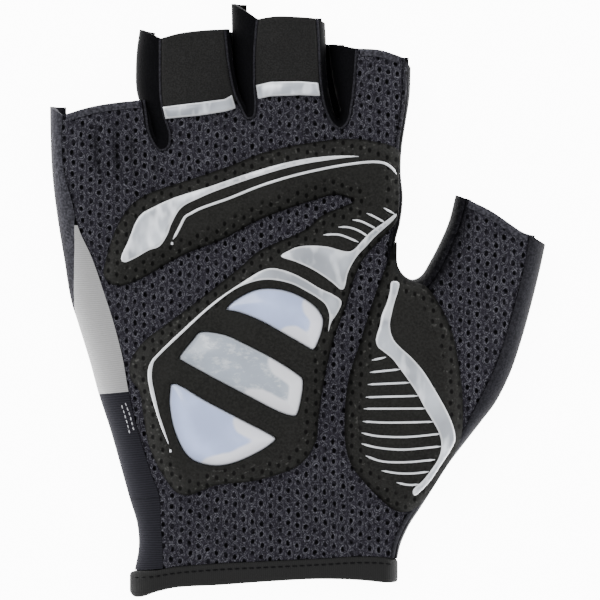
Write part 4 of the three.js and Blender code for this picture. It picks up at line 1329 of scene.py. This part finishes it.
def rib_material(name, tint, field, pitch, contrast):
    """Ribbed elastic: rounded ribs at an even pitch over a field of lengths on the cloth."""
    graph = Graph(name)
    phase = graph.field(field) / pitch
    wave = (phase * (2 * math.pi)).math("SINE") * 0.5 + 0.5
    fibre = graph.noise(1800, detail=2)
    shade = wave * 0.6 + fibre * 0.4
    base = graph.vary(shade.stepped(0.1, 0.9), tint, 1 - contrast, 1 + contrast * 0.4)
    return graph.finish(
        Base_Color=base,
        Roughness=0.85,
        Specular_IOR_Level=0.03,
        Normal=graph.bump(wave + fibre * 0.6, 0.7, pitch * 0.15),
    )


def suede_material(colours, sizes):
    """Brushed suede, with rows of small dents over the pads' slopes."""
    graph = Graph("suede")
    nap = graph.noise(1400, detail=3, roughness=0.65)
    cloud = graph.noise(110, detail=2)
    dent = hole_reach_nodes(graph, sizes).stepped(1.05, 0.6) * graph.field("slope")
    base = graph.vary(nap.stepped(0.3, 0.75), colours.suede, 0.75, 1.45)
    base = graph.mix(cloud.stepped(0.4, 0.75) * 0.3, base, scaled(colours.suede, 1.4))
    speck = graph.noise(900, detail=1).stepped(0.62, 0.74) * graph.field("slope")
    base = graph.mix(speck * 0.55, base, scaled(colours.suede, 5))
    base = graph.mix(dent, base, scaled(colours.suede, 0.12))
    base = graph.mix(graph.field("foot") * 0.8, base, scaled(colours.suede, 0.12))
    return graph.finish(
        Base_Color=base,
        Roughness=0.95,
        Specular_IOR_Level=0.06,
        Normal=graph.bump(nap, 0.5, 0.00012),
    )


def silver_material(colours):
    """Satin silver rubber print, with painted highlights as bright streaks and pale rims."""
    graph = Graph("silver_rubber")
    cloud = graph.noise(70, detail=2)
    grain = graph.noise(2400, detail=1)
    # Painted highlight: bright streaks over the silver
    highlight = graph.noise(190, (1, 0.45, 1), detail=2, roughness=0.6).stepped(0.5, 0.66)
    base = graph.vary(cloud.stepped(0.35, 0.65), colours.silver, 0.7, 1.2)
    base = graph.mix(highlight * 0.75, base, colours.silver_highlight)
    # Painted highlight along the prints' rims
    rim = graph.field("depth").stepped(*SILVER_RIM_HIGHLIGHT)
    base = graph.mix(rim * 0.7, base, colours.silver_rim_highlight)
    return graph.finish(
        Base_Color=base,
        Roughness=0.3,
        Metallic=0.15,
        Normal=graph.bump(grain, 0.15, 0.00003),
    )


def gel_material(name, colours, tint, mottle):
    """Clear, bluish gel over a pale backing, with painted highlights: a whitish band along one
    side and a thin pale rim. The mottle is the share of fine bright patches."""
    graph = Graph(name)
    # Painted highlight: a thin pale rim round the gel
    rim = graph.field("depth").stepped(*GEL_RIM_HIGHLIGHT)
    cloud = graph.noise(75, detail=3)
    # Painted highlight: the pale band along one side of the gel
    band = (graph.field("band") + (cloud - 0.5) * 0.5).stepped(0.35, 0.55)
    base = graph.vary(cloud.stepped(0.35, 0.7), tint, 0.9, 1.1)
    base = graph.mix(band * 0.85, base, colours.gel_highlight)
    base = graph.mix(rim * 0.6, base, colours.gel_rim_highlight)
    fine = graph.noise(330, (1, 1.6, 1), detail=4, roughness=0.7).stepped(0.48, 0.68)
    base = graph.mix(fine * mottle, base, colours.gel_mottle)
    return graph.finish(Base_Color=base, Roughness=0.3, Coat_Weight=0.4, Coat_Roughness=0.12)


def plain_material(name, tint):
    """One even colour with a slight grain."""
    graph = Graph(name)
    grain = graph.noise(1500, detail=1)
    base = graph.vary(grain, tint, 0.85, 1.1)
    return graph.finish(Base_Color=base, Roughness=0.8, Specular_IOR_Level=0.05)


def floor_material(colours):
    """A pale sweep, lit from behind a little, as under a product in a light tent."""
    graph = Graph("floor")
    grain = graph.noise(40, detail=1)
    base = graph.vary(grain, colours.floor, 0.97, 1)
    glow = opaque(colours.floor)
    return graph.finish(Base_Color=base, Roughness=0.9, Emission_Color=glow, Emission_Strength=FLOOR_GLOW)


def material(context, name):
    """A finish by its name, made at its first use."""
    made = bpy.data.materials.get(FINISH_PREFIX + name)
    if made:
        return made
    colours = context.scene.glove_colours
    sizes = context.scene.glove_sizes
    if name in KNITS:
        return cloth_material(name, getattr(colours, name), *KNITS[name])
    if name in RIBS:
        return rib_material(name, getattr(colours, name), *RIBS[name])
    if name in ("thread", "light_thread"):
        return plain_material(name, getattr(colours, name))
    makers = {
        "air_mesh": lambda: mesh_material(name, colours, sizes, on_wall=False),
        "wall_mesh": lambda: mesh_material(name, colours, sizes, on_wall=True),
        "suede": lambda: suede_material(colours, sizes),
        "silver_rubber": lambda: silver_material(colours),
        "gel": lambda: gel_material(name, colours, colours.gel, 0),
        "grey_gel": lambda: gel_material(name, colours, colours.grey_gel, GREY_GEL_MOTTLE),
        "floor": lambda: floor_material(colours),
    }
    return makers[name]()


# Pieces


def form_of(context):
    """The glove's form for the scene's sizes."""
    return GloveForm(context.scene.glove_sizes)


def mesh_points(form, outline, covered):
    """Points of the open mesh inside an outline: for each hole its centre, a ring within it, its rim
    and two points on the yarn beside it, and a plain grid where a pad covers the mesh."""
    sizes = form.sizes
    low, high = outline.min(0), outline.max(0)
    columns = np.arange(math.floor(low[0] / sizes.hole_across), math.ceil(high[0] / sizes.hole_across) + 1)
    drop = COLUMN_DROP * columns
    first_row = math.floor(low[1] / sizes.hole_along + drop.min())
    rows = np.arange(first_row, math.ceil(high[1] / sizes.hole_along + drop.max()) + 1)
    column, row = (a.ravel() for a in np.meshgrid(columns, rows))
    centre = form.hole_centre(column, row)
    deep = depth_inside(outline, centre)
    bare = np.max([depth_inside(pad, centre) for pad in covered], axis=0) < HOLES_UNDER_PAD
    holes = centre[(deep > HOLE_MARGIN * sizes.hole_length) & bare]
    turn = np.linspace(0, 2 * math.pi, HOLE_SPOKES, endpoint=False)
    circle = np.stack([np.cos(turn), np.sin(turn)], axis=1) * (sizes.hole_width, sizes.hole_length)
    yarn = np.array([(0.5, 0.0), (0.5, 0.5)]) * (sizes.hole_across, sizes.hole_along)
    near = centre[(deep > 0) & bare]
    beside = (near[:, None] + yarn).reshape(-1, 2)
    points = np.concatenate([
        holes,
        (holes[:, None] + circle * HOLE_RING).reshape(-1, 2),
        (holes[:, None] + circle).reshape(-1, 2),
        beside[(depth_inside(outline, beside) > YARN_MARGIN) & (form.hole_reach(beside) > YARN_REACH)],
    ])
    grid = hex_grid(low, high, PLAIN_STEP)
    hidden = np.max([depth_inside(pad, grid) for pad in covered], axis=0) > PLAIN_STEP
    return np.concatenate([points, grid[hidden & (depth_inside(outline, grid) > PLAIN_MARGIN)]])


def build_mesh_panel(context, form, name, outline, shaded):
    """One panel of the air mesh, with a dent at each hole. It darkens towards the shaded line."""
    sizes = form.sizes
    pads = (form.palm_pad, form.thumb_pad)
    inner = mesh_points(form, outline, pads)

    def hole_share(points):
        """1 in a hole's middle and 0 from its rim on, and 0 at cut or covered holes."""
        open_mesh = np.max([depth_inside(pad, points) for pad in pads], axis=0) < DENTS_UNDER_PAD
        whole = depth_inside(outline, form.nearest_hole(points)) > HOLE_MARGIN * sizes.hole_length
        return np.where(open_mesh & whole, np.clip(1 - form.hole_reach(points), 0, 1), 0)

    def top(points):
        edge = np.clip(1 - depth_inside(outline, points) / MESH_TURN, 0, 1)
        dent = np.sin(hole_share(points) * math.pi / 2)
        sunk = dent * sizes.hole_depth + edge * MESH_DROP + form.fold_depth(points)
        return form.palm_height(points) - sunk

    def bottom(points):
        return form.palm_height(points) - sizes.cloth_wall

    body = slab(outline, inner, top, bottom)
    flat = body[0][:, :2]
    reach = np.min([np.linalg.norm(flat - point, axis=1) for point in evenly(shaded, SEAM_STEP)], axis=0)
    shade = np.clip(1 - reach / sizes.shade_reach, 0, 1) ** SHADE_POWER
    shade += form.fold_depth(flat) / FOLD_SHADE
    return make_piece(
        context, name, body, "air_mesh", replaces=(name,),
        fields={"shade": np.clip(shade, 0, DARKEST_TOP)}, sharp=MESH_SHARP,
    )


class GLOVE_OT_mesh_panels(bpy.types.Operator):
    """Builds the palm's and the thumb's panels of open mesh."""

    bl_idname = "glove.mesh_panels"
    bl_label = "Mesh panels"

    def execute(self, context):
        form = form_of(context)
        crotch = form.index_thumb.part(form.at(HOOK_END))
        palm = build_mesh_panel(context, form, "palm_panel", form.palm_outline(), form.thumb_seam)
        thumb = build_mesh_panel(context, form, "thumb_panel", form.thumb_outline(), crotch.seam)
        return {"FINISHED"}


class GLOVE_OT_back_panel(bpy.types.Operator):
    """Builds the plain back sheet that the glove lies on."""

    bl_idname = "glove.back_panel"
    bl_label = "Back panel"

    def execute(self, context):
        form = form_of(context)
        body = plate(form.back_outline(), PLAIN_STEP, 0.0, form.sizes.back_wall)
        back = make_piece(
            context, "back_panel", body, "stretch", replaces=("back_panel",)
        )
        return {"FINISHED"}


def pulled_in(rings, gap):
    """Moves the end rings of a wall towards their neighbours by half a seam gap."""
    rings = rings.copy()
    for end, near in ((0, 1), (-1, -2)):
        step = rings[near] - rings[end]
        rings[end] += step * (gap / 2 / np.linalg.norm(step, axis=-1).mean())
    return rings


def build_wall(context, form, name, path, finish, low=None, high=None, shade=0):
    """A stretch of wall from the turn low to the turn high at each sample of its path, with the
    lengths along it and round it as fields for its weave."""
    sizes = form.sizes
    count = len(path.widest)
    low = np.full(count, -1.0) if low is None else low
    high = np.full(count, 1.0) if high is None else high
    share = np.linspace(0, 1, WALL_TURNS + 1)
    turns = low[:, None] + (high - low)[:, None] * share
    outer = form.wall_points(path, turns, np.zeros_like(turns))
    inner = form.wall_points(path, turns, np.full_like(turns, sizes.cloth_wall))
    rings = pulled_in(np.concatenate([outer, inner[:, ::-1]], axis=1), sizes.seam_gap)
    step = np.linalg.norm(np.diff(path.widest, axis=0, prepend=path.widest[:1]), axis=1)
    along = np.repeat(np.cumsum(step), 2 * (WALL_TURNS + 1))
    over = np.linalg.norm(np.diff(outer, axis=1, prepend=outer[:, :1]), axis=-1).cumsum(1)
    around = np.concatenate([over, over[:, ::-1]], axis=1).ravel()
    dim = shade + EDGE_SHADE * np.clip(1 - turns, 0, 1) ** SHADE_POWER
    shades = np.clip(np.concatenate([dim, dim[:, ::-1]], axis=1), 0, DARKEST_WALL).ravel()
    return make_piece(
        context, name, lofted(rings), finish, replaces=(name,),
        fields={"along": along, "round": around, "shade": shades},
    )


class GLOVE_OT_outer_side(bpy.types.Operator):
    """Builds the little-finger side: lower elastic, ribbed elastic, wrap and light gusset."""

    bl_idname = "glove.outer_side"
    bl_label = "Outer side"

    def execute(self, context):
        form = form_of(context)
        path = form.outer_side
        foot, lower = form.at(GUSSET_FOOT), form.at(LOWER_ELASTIC)
        tip = form.at(GUSSET_TIP) - 3
        reach = form.wrap_reach()
        gap = form.sizes.seam_gap / (form.sizes.edge_height + form.sizes.lower_inset)
        build_wall(context, form, "lower_elastic", path.part(0, lower), "elastic")
        build_wall(context, form, "ribbed_elastic", path.part(lower, foot), "elastic")
        build_wall(context, form, "side_wrap", path.part(foot), "wrap",
                   high=reach[foot:])
        build_wall(context, form, "side_gusset", path.part(foot, tip), "gusset",
                   low=reach[foot:tip + 1] + gap)
        return {"FINISHED"}


class GLOVE_OT_finger_walls(bpy.types.Operator):
    """Builds the stretch walls between the fingers and round the thumb."""

    bl_idname = "glove.finger_walls"
    bl_label = "Finger walls"

    def execute(self, context):
        form = form_of(context)
        sizes = form.sizes
        hook = form.at(HOOK_END)
        walls = [
            ("little_ring_fourchette", form.little_ring, "stretch", 0),
            ("ring_middle_fourchette", form.ring_middle, "stretch", 0),
            ("middle_index_fourchette", form.middle_index, "stretch", 0),
            ("index_side_wall", form.index_thumb.part(0, hook), "wall_mesh", INDEX_WALL_SHADE),
            ("thumb_inner_wall", form.index_thumb.part(hook), "wall_mesh", THUMB_WALL_SHADE),
            ("thumb_side_strip", form.thumb_wrist, "strip", 0),
        ]
        for name, path, finish, shade in walls:
            build_wall(context, form, name, path, finish, shade=shade)
        webs = [
            ("little_ring_web", form.little_ring, LITTLE_RING_WEB),
            ("ring_middle_web", form.ring_middle, RING_MIDDLE_WEB),
            ("middle_index_web", form.middle_index, MIDDLE_INDEX_WEB),
        ]
        for name, path, stations in webs:
            outline = form.web_outline(path, stations)
            body = plate(outline, WEB_STEP, sizes.web_foot, sizes.web_foot + sizes.web_wall)
            make_piece(context, name, body, "stretch", replaces=(name,))
        return {"FINISHED"}


class GLOVE_OT_cuff_binding(bpy.types.Operator):
    """Builds the folded binding round the wrist."""

    bl_idname = "glove.cuff_binding"
    bl_label = "Cuff binding"

    def execute(self, context):
        form = form_of(context)
        sizes = form.sizes
        left_round = CUFF_LEFT_ROUND * sizes.glove_width
        right_round = CUFF_RIGHT_ROUND * sizes.glove_width
        left = form.origin[0] + CUFF[0][0] * sizes.glove_width + left_round
        right = form.origin[0] + CUFF[-1][0] * sizes.glove_width - right_round

        def top_at(x):
            """Height of the binding's outer face at its upper edge."""
            x = np.atleast_1d(x)
            edge = np.column_stack([x, height_of_line(form.cuff_upper, x)])
            return form.palm_height(edge) + sizes.binding_proud

        def arc(centre, reach, start, stop, rise):
            """A quarter ellipse in x and z, each point with its inward way."""
            angle = np.radians(np.linspace(start, stop, CORNER_SAMPLES, endpoint=False))
            height = np.where(np.sin(angle) < 0, sizes.edge_height, rise)
            return np.column_stack([
                centre + reach * np.cos(angle), sizes.edge_height + height * np.sin(angle),
                -np.cos(angle), -np.sin(angle),
            ])

        over = np.linspace(left, right, OVER_SAMPLES, endpoint=False)
        back = np.linspace(right, left, BACK_SAMPLES, endpoint=False)
        left_rise = top_at(left)[0] - sizes.edge_height
        right_rise = top_at(right)[0] - sizes.edge_height
        loop = np.concatenate([
            arc(left, left_round, 270, 180, 0),
            arc(left, left_round, 180, 90, left_rise),
            np.column_stack([over, top_at(over), np.zeros_like(over), -np.ones_like(over)]),
            arc(right, right_round, 90, 0, right_rise),
            arc(right, right_round, 0, -90, 0),
            np.column_stack([back, np.zeros_like(back), np.zeros_like(back), np.ones_like(back)]),
        ])
        upper = height_of_line(form.cuff_upper, loop[:, 0])
        lower = height_of_line(form.cuff_lower, loop[:, 0])
        section = np.array(BINDING_SECTION)
        y = lower[:, None] + (upper - lower)[:, None] * section[:, 0]
        depth = section[:, 1] * sizes.binding_wall
        x = loop[:, :1] + loop[:, 2:3] * depth
        z = loop[:, 1:2] + loop[:, 3:4] * depth
        rings = np.stack([x, y, z], axis=-1)
        step = np.linalg.norm(np.diff(loop[:, :2], axis=0, prepend=loop[:1, :2]), axis=1).cumsum()
        make_piece(
            context, "cuff_binding", lofted(rings, closed=True), "binding",
            replaces=("cuff_binding",), fields={"across": np.repeat(step, len(section))},
        )
        return {"FINISHED"}


class GLOVE_OT_pull_tabs(bpy.types.Operator):
    """Builds the ring and middle fingers' pull tabs and the silver strips on them."""

    bl_idname = "glove.pull_tabs"
    bl_label = "Pull tabs"

    def execute(self, context):
        form = form_of(context)
        ring = form.tab_outline(form.ring_outer, form.ring_inner, form.ring_seam, form.tops["ring"])
        middle = form.tab_outline(
            form.middle_outer, form.middle_inner, form.middle_seam, form.tops["middle"]
        )
        self.build(context, form, "ring", ring, RING_GRIP)
        self.build(context, form, "middle", middle, MIDDLE_GRIP)
        return {"FINISHED"}

    def build(self, context, form, name, outline, grip_rows):
        """One tab with its strip. The strip is a dome that is thickest along its middle."""
        sizes = form.sizes

        def tab_bottom(points):
            return form.palm_height(points) - sizes.cloth_wall

        def tab_top(points):
            turned = turned_down(depth_inside(outline, points), TURN_WIDTH, TURN_DROP)
            return tab_bottom(points) + sizes.tab_wall - turned

        tab = make_piece(
            context, name + "_pull_tab", slab(outline, filled(outline, TAB_FILLING), tab_top, tab_bottom),
            "tab", replaces=(name + "_pull_tab",),
        )
        strip = evenly_closed(form.places(grip_rows), EDGE_STEP)

        def strip_bottom(points):
            return tab_bottom(points) + sizes.tab_wall + sizes.pad_gap / 3

        def strip_top(points):
            depth = np.clip(depth_inside(strip, points) / GRIP_ROLL, 0, 1)
            share = GRIP_EDGE + (1 - GRIP_EDGE) * np.sqrt(1 - (1 - depth) ** 2)
            return strip_bottom(points) + sizes.grip_wall * share

        body = slab(strip, filled(strip, GRIP_FILLING), strip_top, strip_bottom)
        make_piece(
            context, name + "_tab_grip", body, "silver_rubber",
            replaces=(name + "_tab_grip",), fields={"depth": depth_inside(strip, body[0][:, :2])},
        )
        size = outline.max(0) - outline.min(0)


class GLOVE_OT_pads(bpy.types.Operator):
    """Builds the two suede pads with their rolled rims."""

    bl_idname = "glove.pads"
    bl_label = "Pads"

    def execute(self, context):
        form = form_of(context)
        self.build(context, form, "palm_pad", form.palm_pad, form.windows.values())
        self.build(context, form, "thumb_pad", form.thumb_pad, ())
        return {"FINISHED"}

    def build(self, context, form, name, outline, windows):
        """One pad, with rows of small dents over its slope."""
        sizes = form.sizes
        outline = evenly_closed(outline, EDGE_STEP)
        windows = [evenly_closed(window, EDGE_STEP) for window in windows]

        def dent_share(points):
            """A cone at each hole of the pattern, cut off at 0 and 1, over the slope alone."""
            slope = np.clip(1 - depth_inside(outline, points) / sizes.pad_roll, 0, 1)
            dent = np.clip(DENT_CENTRE - form.hole_reach(points) * DENT_FALL, 0, 1)
            return dent * np.clip(slope * DENT_FADE, 0, 1)

        def top(points):
            height = form.pad_top(outline, points)
            for window in windows:
                height -= turned_down(-depth_inside(window, points), WINDOW_TURN, TURN_DROP)
            return height - dent_share(points) * sizes.dent_depth

        def bottom(points):
            return form.palm_height(points) + sizes.pad_gap / 3

        inner = filled(outline, PAD_FILLING, windows, WINDOW_ROWS)
        body = slab(outline, inner, top, bottom, windows)
        depth = depth_inside(outline, body[0][:, :2])
        pad = make_piece(
            context, name, body, "suede", replaces=(name,),
            fields={
                "slope": np.clip(SLOPE_FADE * (1 - depth / sizes.pad_roll), 0, DARKEST_TOP),
                "foot": np.clip(1 - depth / sizes.pad_foot, 0, 1),
            },
        )


class GLOVE_OT_gel_windows(bpy.types.Operator):
    """Builds the three gel domes in the palm pad."""

    bl_idname = "glove.gel_windows"
    bl_label = "Gel windows"

    def execute(self, context):
        form = form_of(context)
        sizes = form.sizes
        for name, window in form.windows.items():
            outline = evenly_closed(shifted_right(window, GEL_CLEARANCE, closed=True), EDGE_STEP)

            def bottom(points):
                return form.palm_height(points) + sizes.pad_gap

            def top(points, outline=outline):
                depth = depth_inside(outline, points)
                thick = form.dome(depth, sizes.gel_edge, sizes.gel_crown, sizes.gel_roll)
                return bottom(points) + thick - turned_down(depth, TURN_WIDTH, TURN_DROP)

            body = slab(outline, filled(outline, GEL_FILLING), top, bottom)
            flat = body[0][:, :2]
            depth = depth_inside(outline, flat)
            # The band of painted highlight: strongest at the rim and towards one side of the window
            side = (flat - flat.mean(0)) @ np.array(GEL_HIGHLIGHT_WAY) / np.ptp(flat, axis=0).max()
            band = np.clip(GEL_HIGHLIGHT_RIM - depth / GEL_HIGHLIGHT, 0, 1) * np.clip(side * GEL_HIGHLIGHT_FADE, 0, 1)
            piece = "gel_window_" + name
            finish = "grey_gel" if name == "middle" else "gel"
            gel = make_piece(
                context, piece, body, finish, replaces=(piece,),
                fields={"depth": depth, "band": band},
            )
        return {"FINISHED"}


class GLOVE_OT_silver_prints(bpy.types.Operator):
    """Builds the raised silver bands, lines and dots on the pads."""

    bl_idname = "glove.silver_prints"
    bl_label = "Silver prints"

    def execute(self, context):
        form = form_of(context)
        sizes = form.sizes

        def palm_surface(points):
            return form.pad_top(form.palm_pad, points)

        def thumb_surface(points):
            return form.pad_top(form.thumb_pad, points)

        bands = {
            "upper_crescent": (UPPER_CRESCENT, palm_surface),
            "hook_wedge": (HOOK_WEDGE, palm_surface),
            "heel_crescent": (HEEL_CRESCENT, palm_surface),
            "thumb_band": (THUMB_BAND, thumb_surface),
        }
        for name, (rows, surface) in bands.items():
            self.band(context, form, name, rows, surface)
        lines = [(UPPER_LINE, palm_surface, UPPER_LINE_SWELL)]
        lines += [(rows, palm_surface, 1.0) for rows in HOOK_RIBS]
        lines += [(rows, thumb_surface, 1.0) for rows in THUMB_RIBS]
        bodies = []
        for rows, surface, swell in lines:
            line = evenly(form.curve(rows), EDGE_STEP)
            share = np.linspace(0, 1, len(line))
            ends = np.clip(np.minimum(share, 1 - share) * len(line) / 2, LINE_END, 1)
            width = sizes.line_width * swell * ends
            bodies.append(ribbon(line, width, sizes.print_rise, surface, across=7))
        centres = form.places(PRINT_DOTS)
        centres = np.column_stack([centres, palm_surface(centres)])
        ways = np.tile([0.0, 1.0, 0.0], (len(centres), 1))
        bodies.append(beads(centres, ways, DOT_HALF_LENGTH, DOT_RADIUS, spokes=10))
        make_piece(context, "printed_lines", joined(bodies), "silver_rubber")
        return {"FINISHED"}

    def band(self, context, form, name, rows, surface):
        """One raised band whose edge is rounded."""
        rise = form.sizes.print_rise
        outline = evenly_closed(form.curve(rows, closed=True), EDGE_STEP)
        if signed_area(outline) > 0:
            outline = outline[::-1]

        def top(points):
            edge = np.clip(1 - depth_inside(outline, points) / rise, 0, 1)
            return surface(points) + rise * np.sqrt(1 - PRINT_TURN * edge**2)

        def bottom(points):
            return surface(points) - PRINT_SINK

        filling = ((PRINT_ROW * rise, rise), EDGE_STEP, PRINT_STEP, EDGE_STEP)
        body = slab(outline, filled(outline, filling), top, bottom)
        make_piece(
            context, name, body, "silver_rubber",
            fields={"depth": depth_inside(outline, body[0][:, :2])},
        )


class GLOVE_OT_hems(bpy.types.Operator):
    """Builds the hems round the finger and thumb openings."""

    bl_idname = "glove.hems"
    bl_label = "Hems"

    def execute(self, context):
        form = form_of(context)
        sizes = form.sizes
        for name, line in form.tops.items():
            line = evenly(shifted_right(line, sizes.hem_width / 2), EDGE_STEP)
            body = ribbon(
                line, sizes.hem_width, sizes.hem_rise, lambda p: form.palm_height(p) + HEM_LIFT,
                sink=HEM_SINK,
            )
            finish = "tab" if name in ("ring", "middle") else "wrap"
            make_piece(context, name + "_hem", body, finish)
        sides = (
            form.little_inner, form.ring_outer, form.ring_inner,
            form.middle_outer, form.middle_inner, form.index_inner,
        )
        ridges = []
        for side in sides:
            line = evenly(shifted_right(side, -sizes.ridge_width / 2), EDGE_STEP)
            ridges.append(ribbon(
                line, sizes.ridge_width, sizes.hem_rise, form.palm_height, sink=RIDGE_SINK, across=7
            ))
        make_piece(context, "seam_ridges", joined(ridges), "strip")
        return {"FINISHED"}


class GLOVE_OT_seams(bpy.types.Operator):
    """Builds the seam allowances: the doubled cloth inside the glove under each sewn edge."""

    bl_idname = "glove.seams"
    bl_label = "Seams"

    def execute(self, context):
        form = form_of(context)
        sizes = form.sizes
        lines = (
            form.outer_side.seam[form.at(1):], form.little_ring.seam, form.ring_middle.seam,
            form.middle_index.seam, form.index_thumb.seam, form.thumb_wrist.seam,
            form.thumb_seam, form.ring_seam, form.middle_seam,
            form.cuff_upper[form.at(2):-form.at(1)] + (0, sizes.seam_gap),
        )

        def inside(points):
            return form.palm_height(points) - sizes.cloth_wall

        bodies = [
            ribbon(evenly(line, SEAM_STEP), sizes.seam_allowance, sizes.cloth_wall / 3, inside, across=5)
            for line in lines
        ]
        make_piece(context, "seam_allowances", joined(bodies), "stretch")
        return {"FINISHED"}


class GLOVE_OT_stitches(bpy.types.Operator):
    """Sews the visible stitches: rows of short threads, each a rounded grain laid on the cloth."""

    bl_idname = "glove.stitches"
    bl_label = "Stitches"

    def execute(self, context):
        form = form_of(context)
        sizes = form.sizes
        cuff = form.cuff_upper[form.at(1):-form.at(1) // 2] - (0, sizes.cuff_stitch_inset)

        def on_binding(points):
            return form.palm_height(points) + sizes.binding_proud

        dark = [self.row(evenly(cuff, sizes.stitch_length * CUFF_CHORD), on_binding, sizes)]
        for rows in ZIGZAGS:
            line = evenly(form.places(rows), sizes.stitch_length * ZIGZAG_CHORD)
            swing = np.where(np.arange(len(line)) % 2 == 0, 1, -1) * sizes.zigzag_width / 2
            dark.append(self.row(shifted_right(line, swing[:, None]), form.palm_height, sizes))
        make_piece(context, "dark_stitches", joined(dark), "thread")
        light = [
            self.row(evenly(form.curve(rows), sizes.stitch_length * LIGHT_CHORD), form.palm_height, sizes)
            for rows in LIGHT_STITCHES
        ]
        make_piece(context, "light_stitches", joined(light), "light_thread")
        return {"FINISHED"}

    def row(self, line, surface, sizes):
        """One row of stitches: each lies on the chord between two points and leaves a gap at its end."""
        ends = np.column_stack([line, surface(line) + sizes.stitch_radius])
        ways = np.diff(ends, axis=0)
        half = STITCH_HALF * np.linalg.norm(ways, axis=1).mean()
        return beads((ends[1:] + ends[:-1]) / 2, ways, half, sizes.stitch_radius)


class GLOVE_OT_stage(bpy.types.Operator):
    """Builds the floor, the lights and the camera."""

    bl_idname = "glove.stage"
    bl_label = "Stage"

    def execute(self, context):
        scene = context.scene
        sizes = scene.glove_sizes
        half = FLOOR_HALF
        corners = [(-half, -half, 0), (half, -half, 0), (half, half, 0), (-half, half, 0)]
        mesh = bpy.data.meshes.new("floor")
        mesh.from_pydata(corners, [], [(0, 1, 2, 3)])
        mesh.materials.append(material(context, "floor"))
        floor = bpy.data.objects.new("floor", mesh)
        floor.location.z = -FLOOR_DROP
        scene.collection.objects.link(floor)
        for name, place, size, power in LIGHTS:
            self.light(scene, name, place, size, power)
        world = bpy.data.worlds.new("studio")
        world.use_nodes = True
        background = world.node_tree.nodes["Background"]
        background.inputs["Color"].default_value = (1, 1, 1, 1)
        background.inputs["Strength"].default_value = 1.0
        scene.world = world
        lens = bpy.data.cameras.new("camera")
        lens.sensor_width = SENSOR_WIDTH
        lens.lens = SENSOR_WIDTH * (sizes.camera_height - FRAMED_HEIGHT) / sizes.glove_length
        camera = bpy.data.objects.new("camera", lens)
        camera.location = (CAMERA_ACROSS, 0.0, sizes.camera_height)
        scene.collection.objects.link(camera)
        scene.camera = camera
        return {"FINISHED"}

    def light(self, scene, name, place, size, power):
        """A square area light that looks at the glove."""
        lamp = bpy.data.lights.new(name, "AREA")
        lamp.size = size
        lamp.energy = power
        light = bpy.data.objects.new(name, lamp)
        light.location = place
        light.rotation_euler = (-Vector(place)).to_track_quat("-Z", "Y").to_euler()
        scene.collection.objects.link(light)


OPERATORS = (
    GLOVE_OT_mesh_panels,
    GLOVE_OT_back_panel,
    GLOVE_OT_outer_side,
    GLOVE_OT_finger_walls,
    GLOVE_OT_cuff_binding,
    GLOVE_OT_pull_tabs,
    GLOVE_OT_pads,
    GLOVE_OT_gel_windows,
    GLOVE_OT_silver_prints,
    GLOVE_OT_hems,
    GLOVE_OT_seams,
    GLOVE_OT_stitches,
    GLOVE_OT_stage,
)


class GLOVE_PT_panel(bpy.types.Panel):
    """Lists the glove's sizes, colours and pieces."""

    bl_label = "Cycling glove"
    bl_idname = "GLOVE_PT_panel"
    bl_space_type = "VIEW_3D"
    bl_region_type = "UI"
    bl_category = "Glove"

    def draw(self, context):
        layout = self.layout
        for group in (context.scene.glove_sizes, context.scene.glove_colours):
            box = layout.box()
            for name in group.__annotations__:
                box.prop(group, name)
        for operator in OPERATORS:
            layout.operator(operator.bl_idname)


CLASSES = (GloveSizes, GloveColours, *OPERATORS, GLOVE_PT_panel)


def register():
    for cls in CLASSES:
        bpy.utils.register_class(cls)
    bpy.types.Scene.glove_sizes = bpy.props.PointerProperty(type=GloveSizes)
    bpy.types.Scene.glove_colours = bpy.props.PointerProperty(type=GloveColours)


def unregister():
    del bpy.types.Scene.glove_colours
    del bpy.types.Scene.glove_sizes
    for cls in reversed(CLASSES):
        bpy.utils.unregister_class(cls)


def main():
    register()
    bpy.ops.glove.mesh_panels()
    bpy.ops.glove.back_panel()
    bpy.ops.glove.outer_side()
    bpy.ops.glove.finger_walls()
    bpy.ops.glove.cuff_binding()
    bpy.ops.glove.pull_tabs()
    bpy.ops.glove.pads()
    bpy.ops.glove.gel_windows()
    bpy.ops.glove.silver_prints()
    bpy.ops.glove.hems()
    bpy.ops.glove.seams()
    bpy.ops.glove.stitches()
    bpy.ops.glove.stage()


if __name__ == "__main__":
    main()
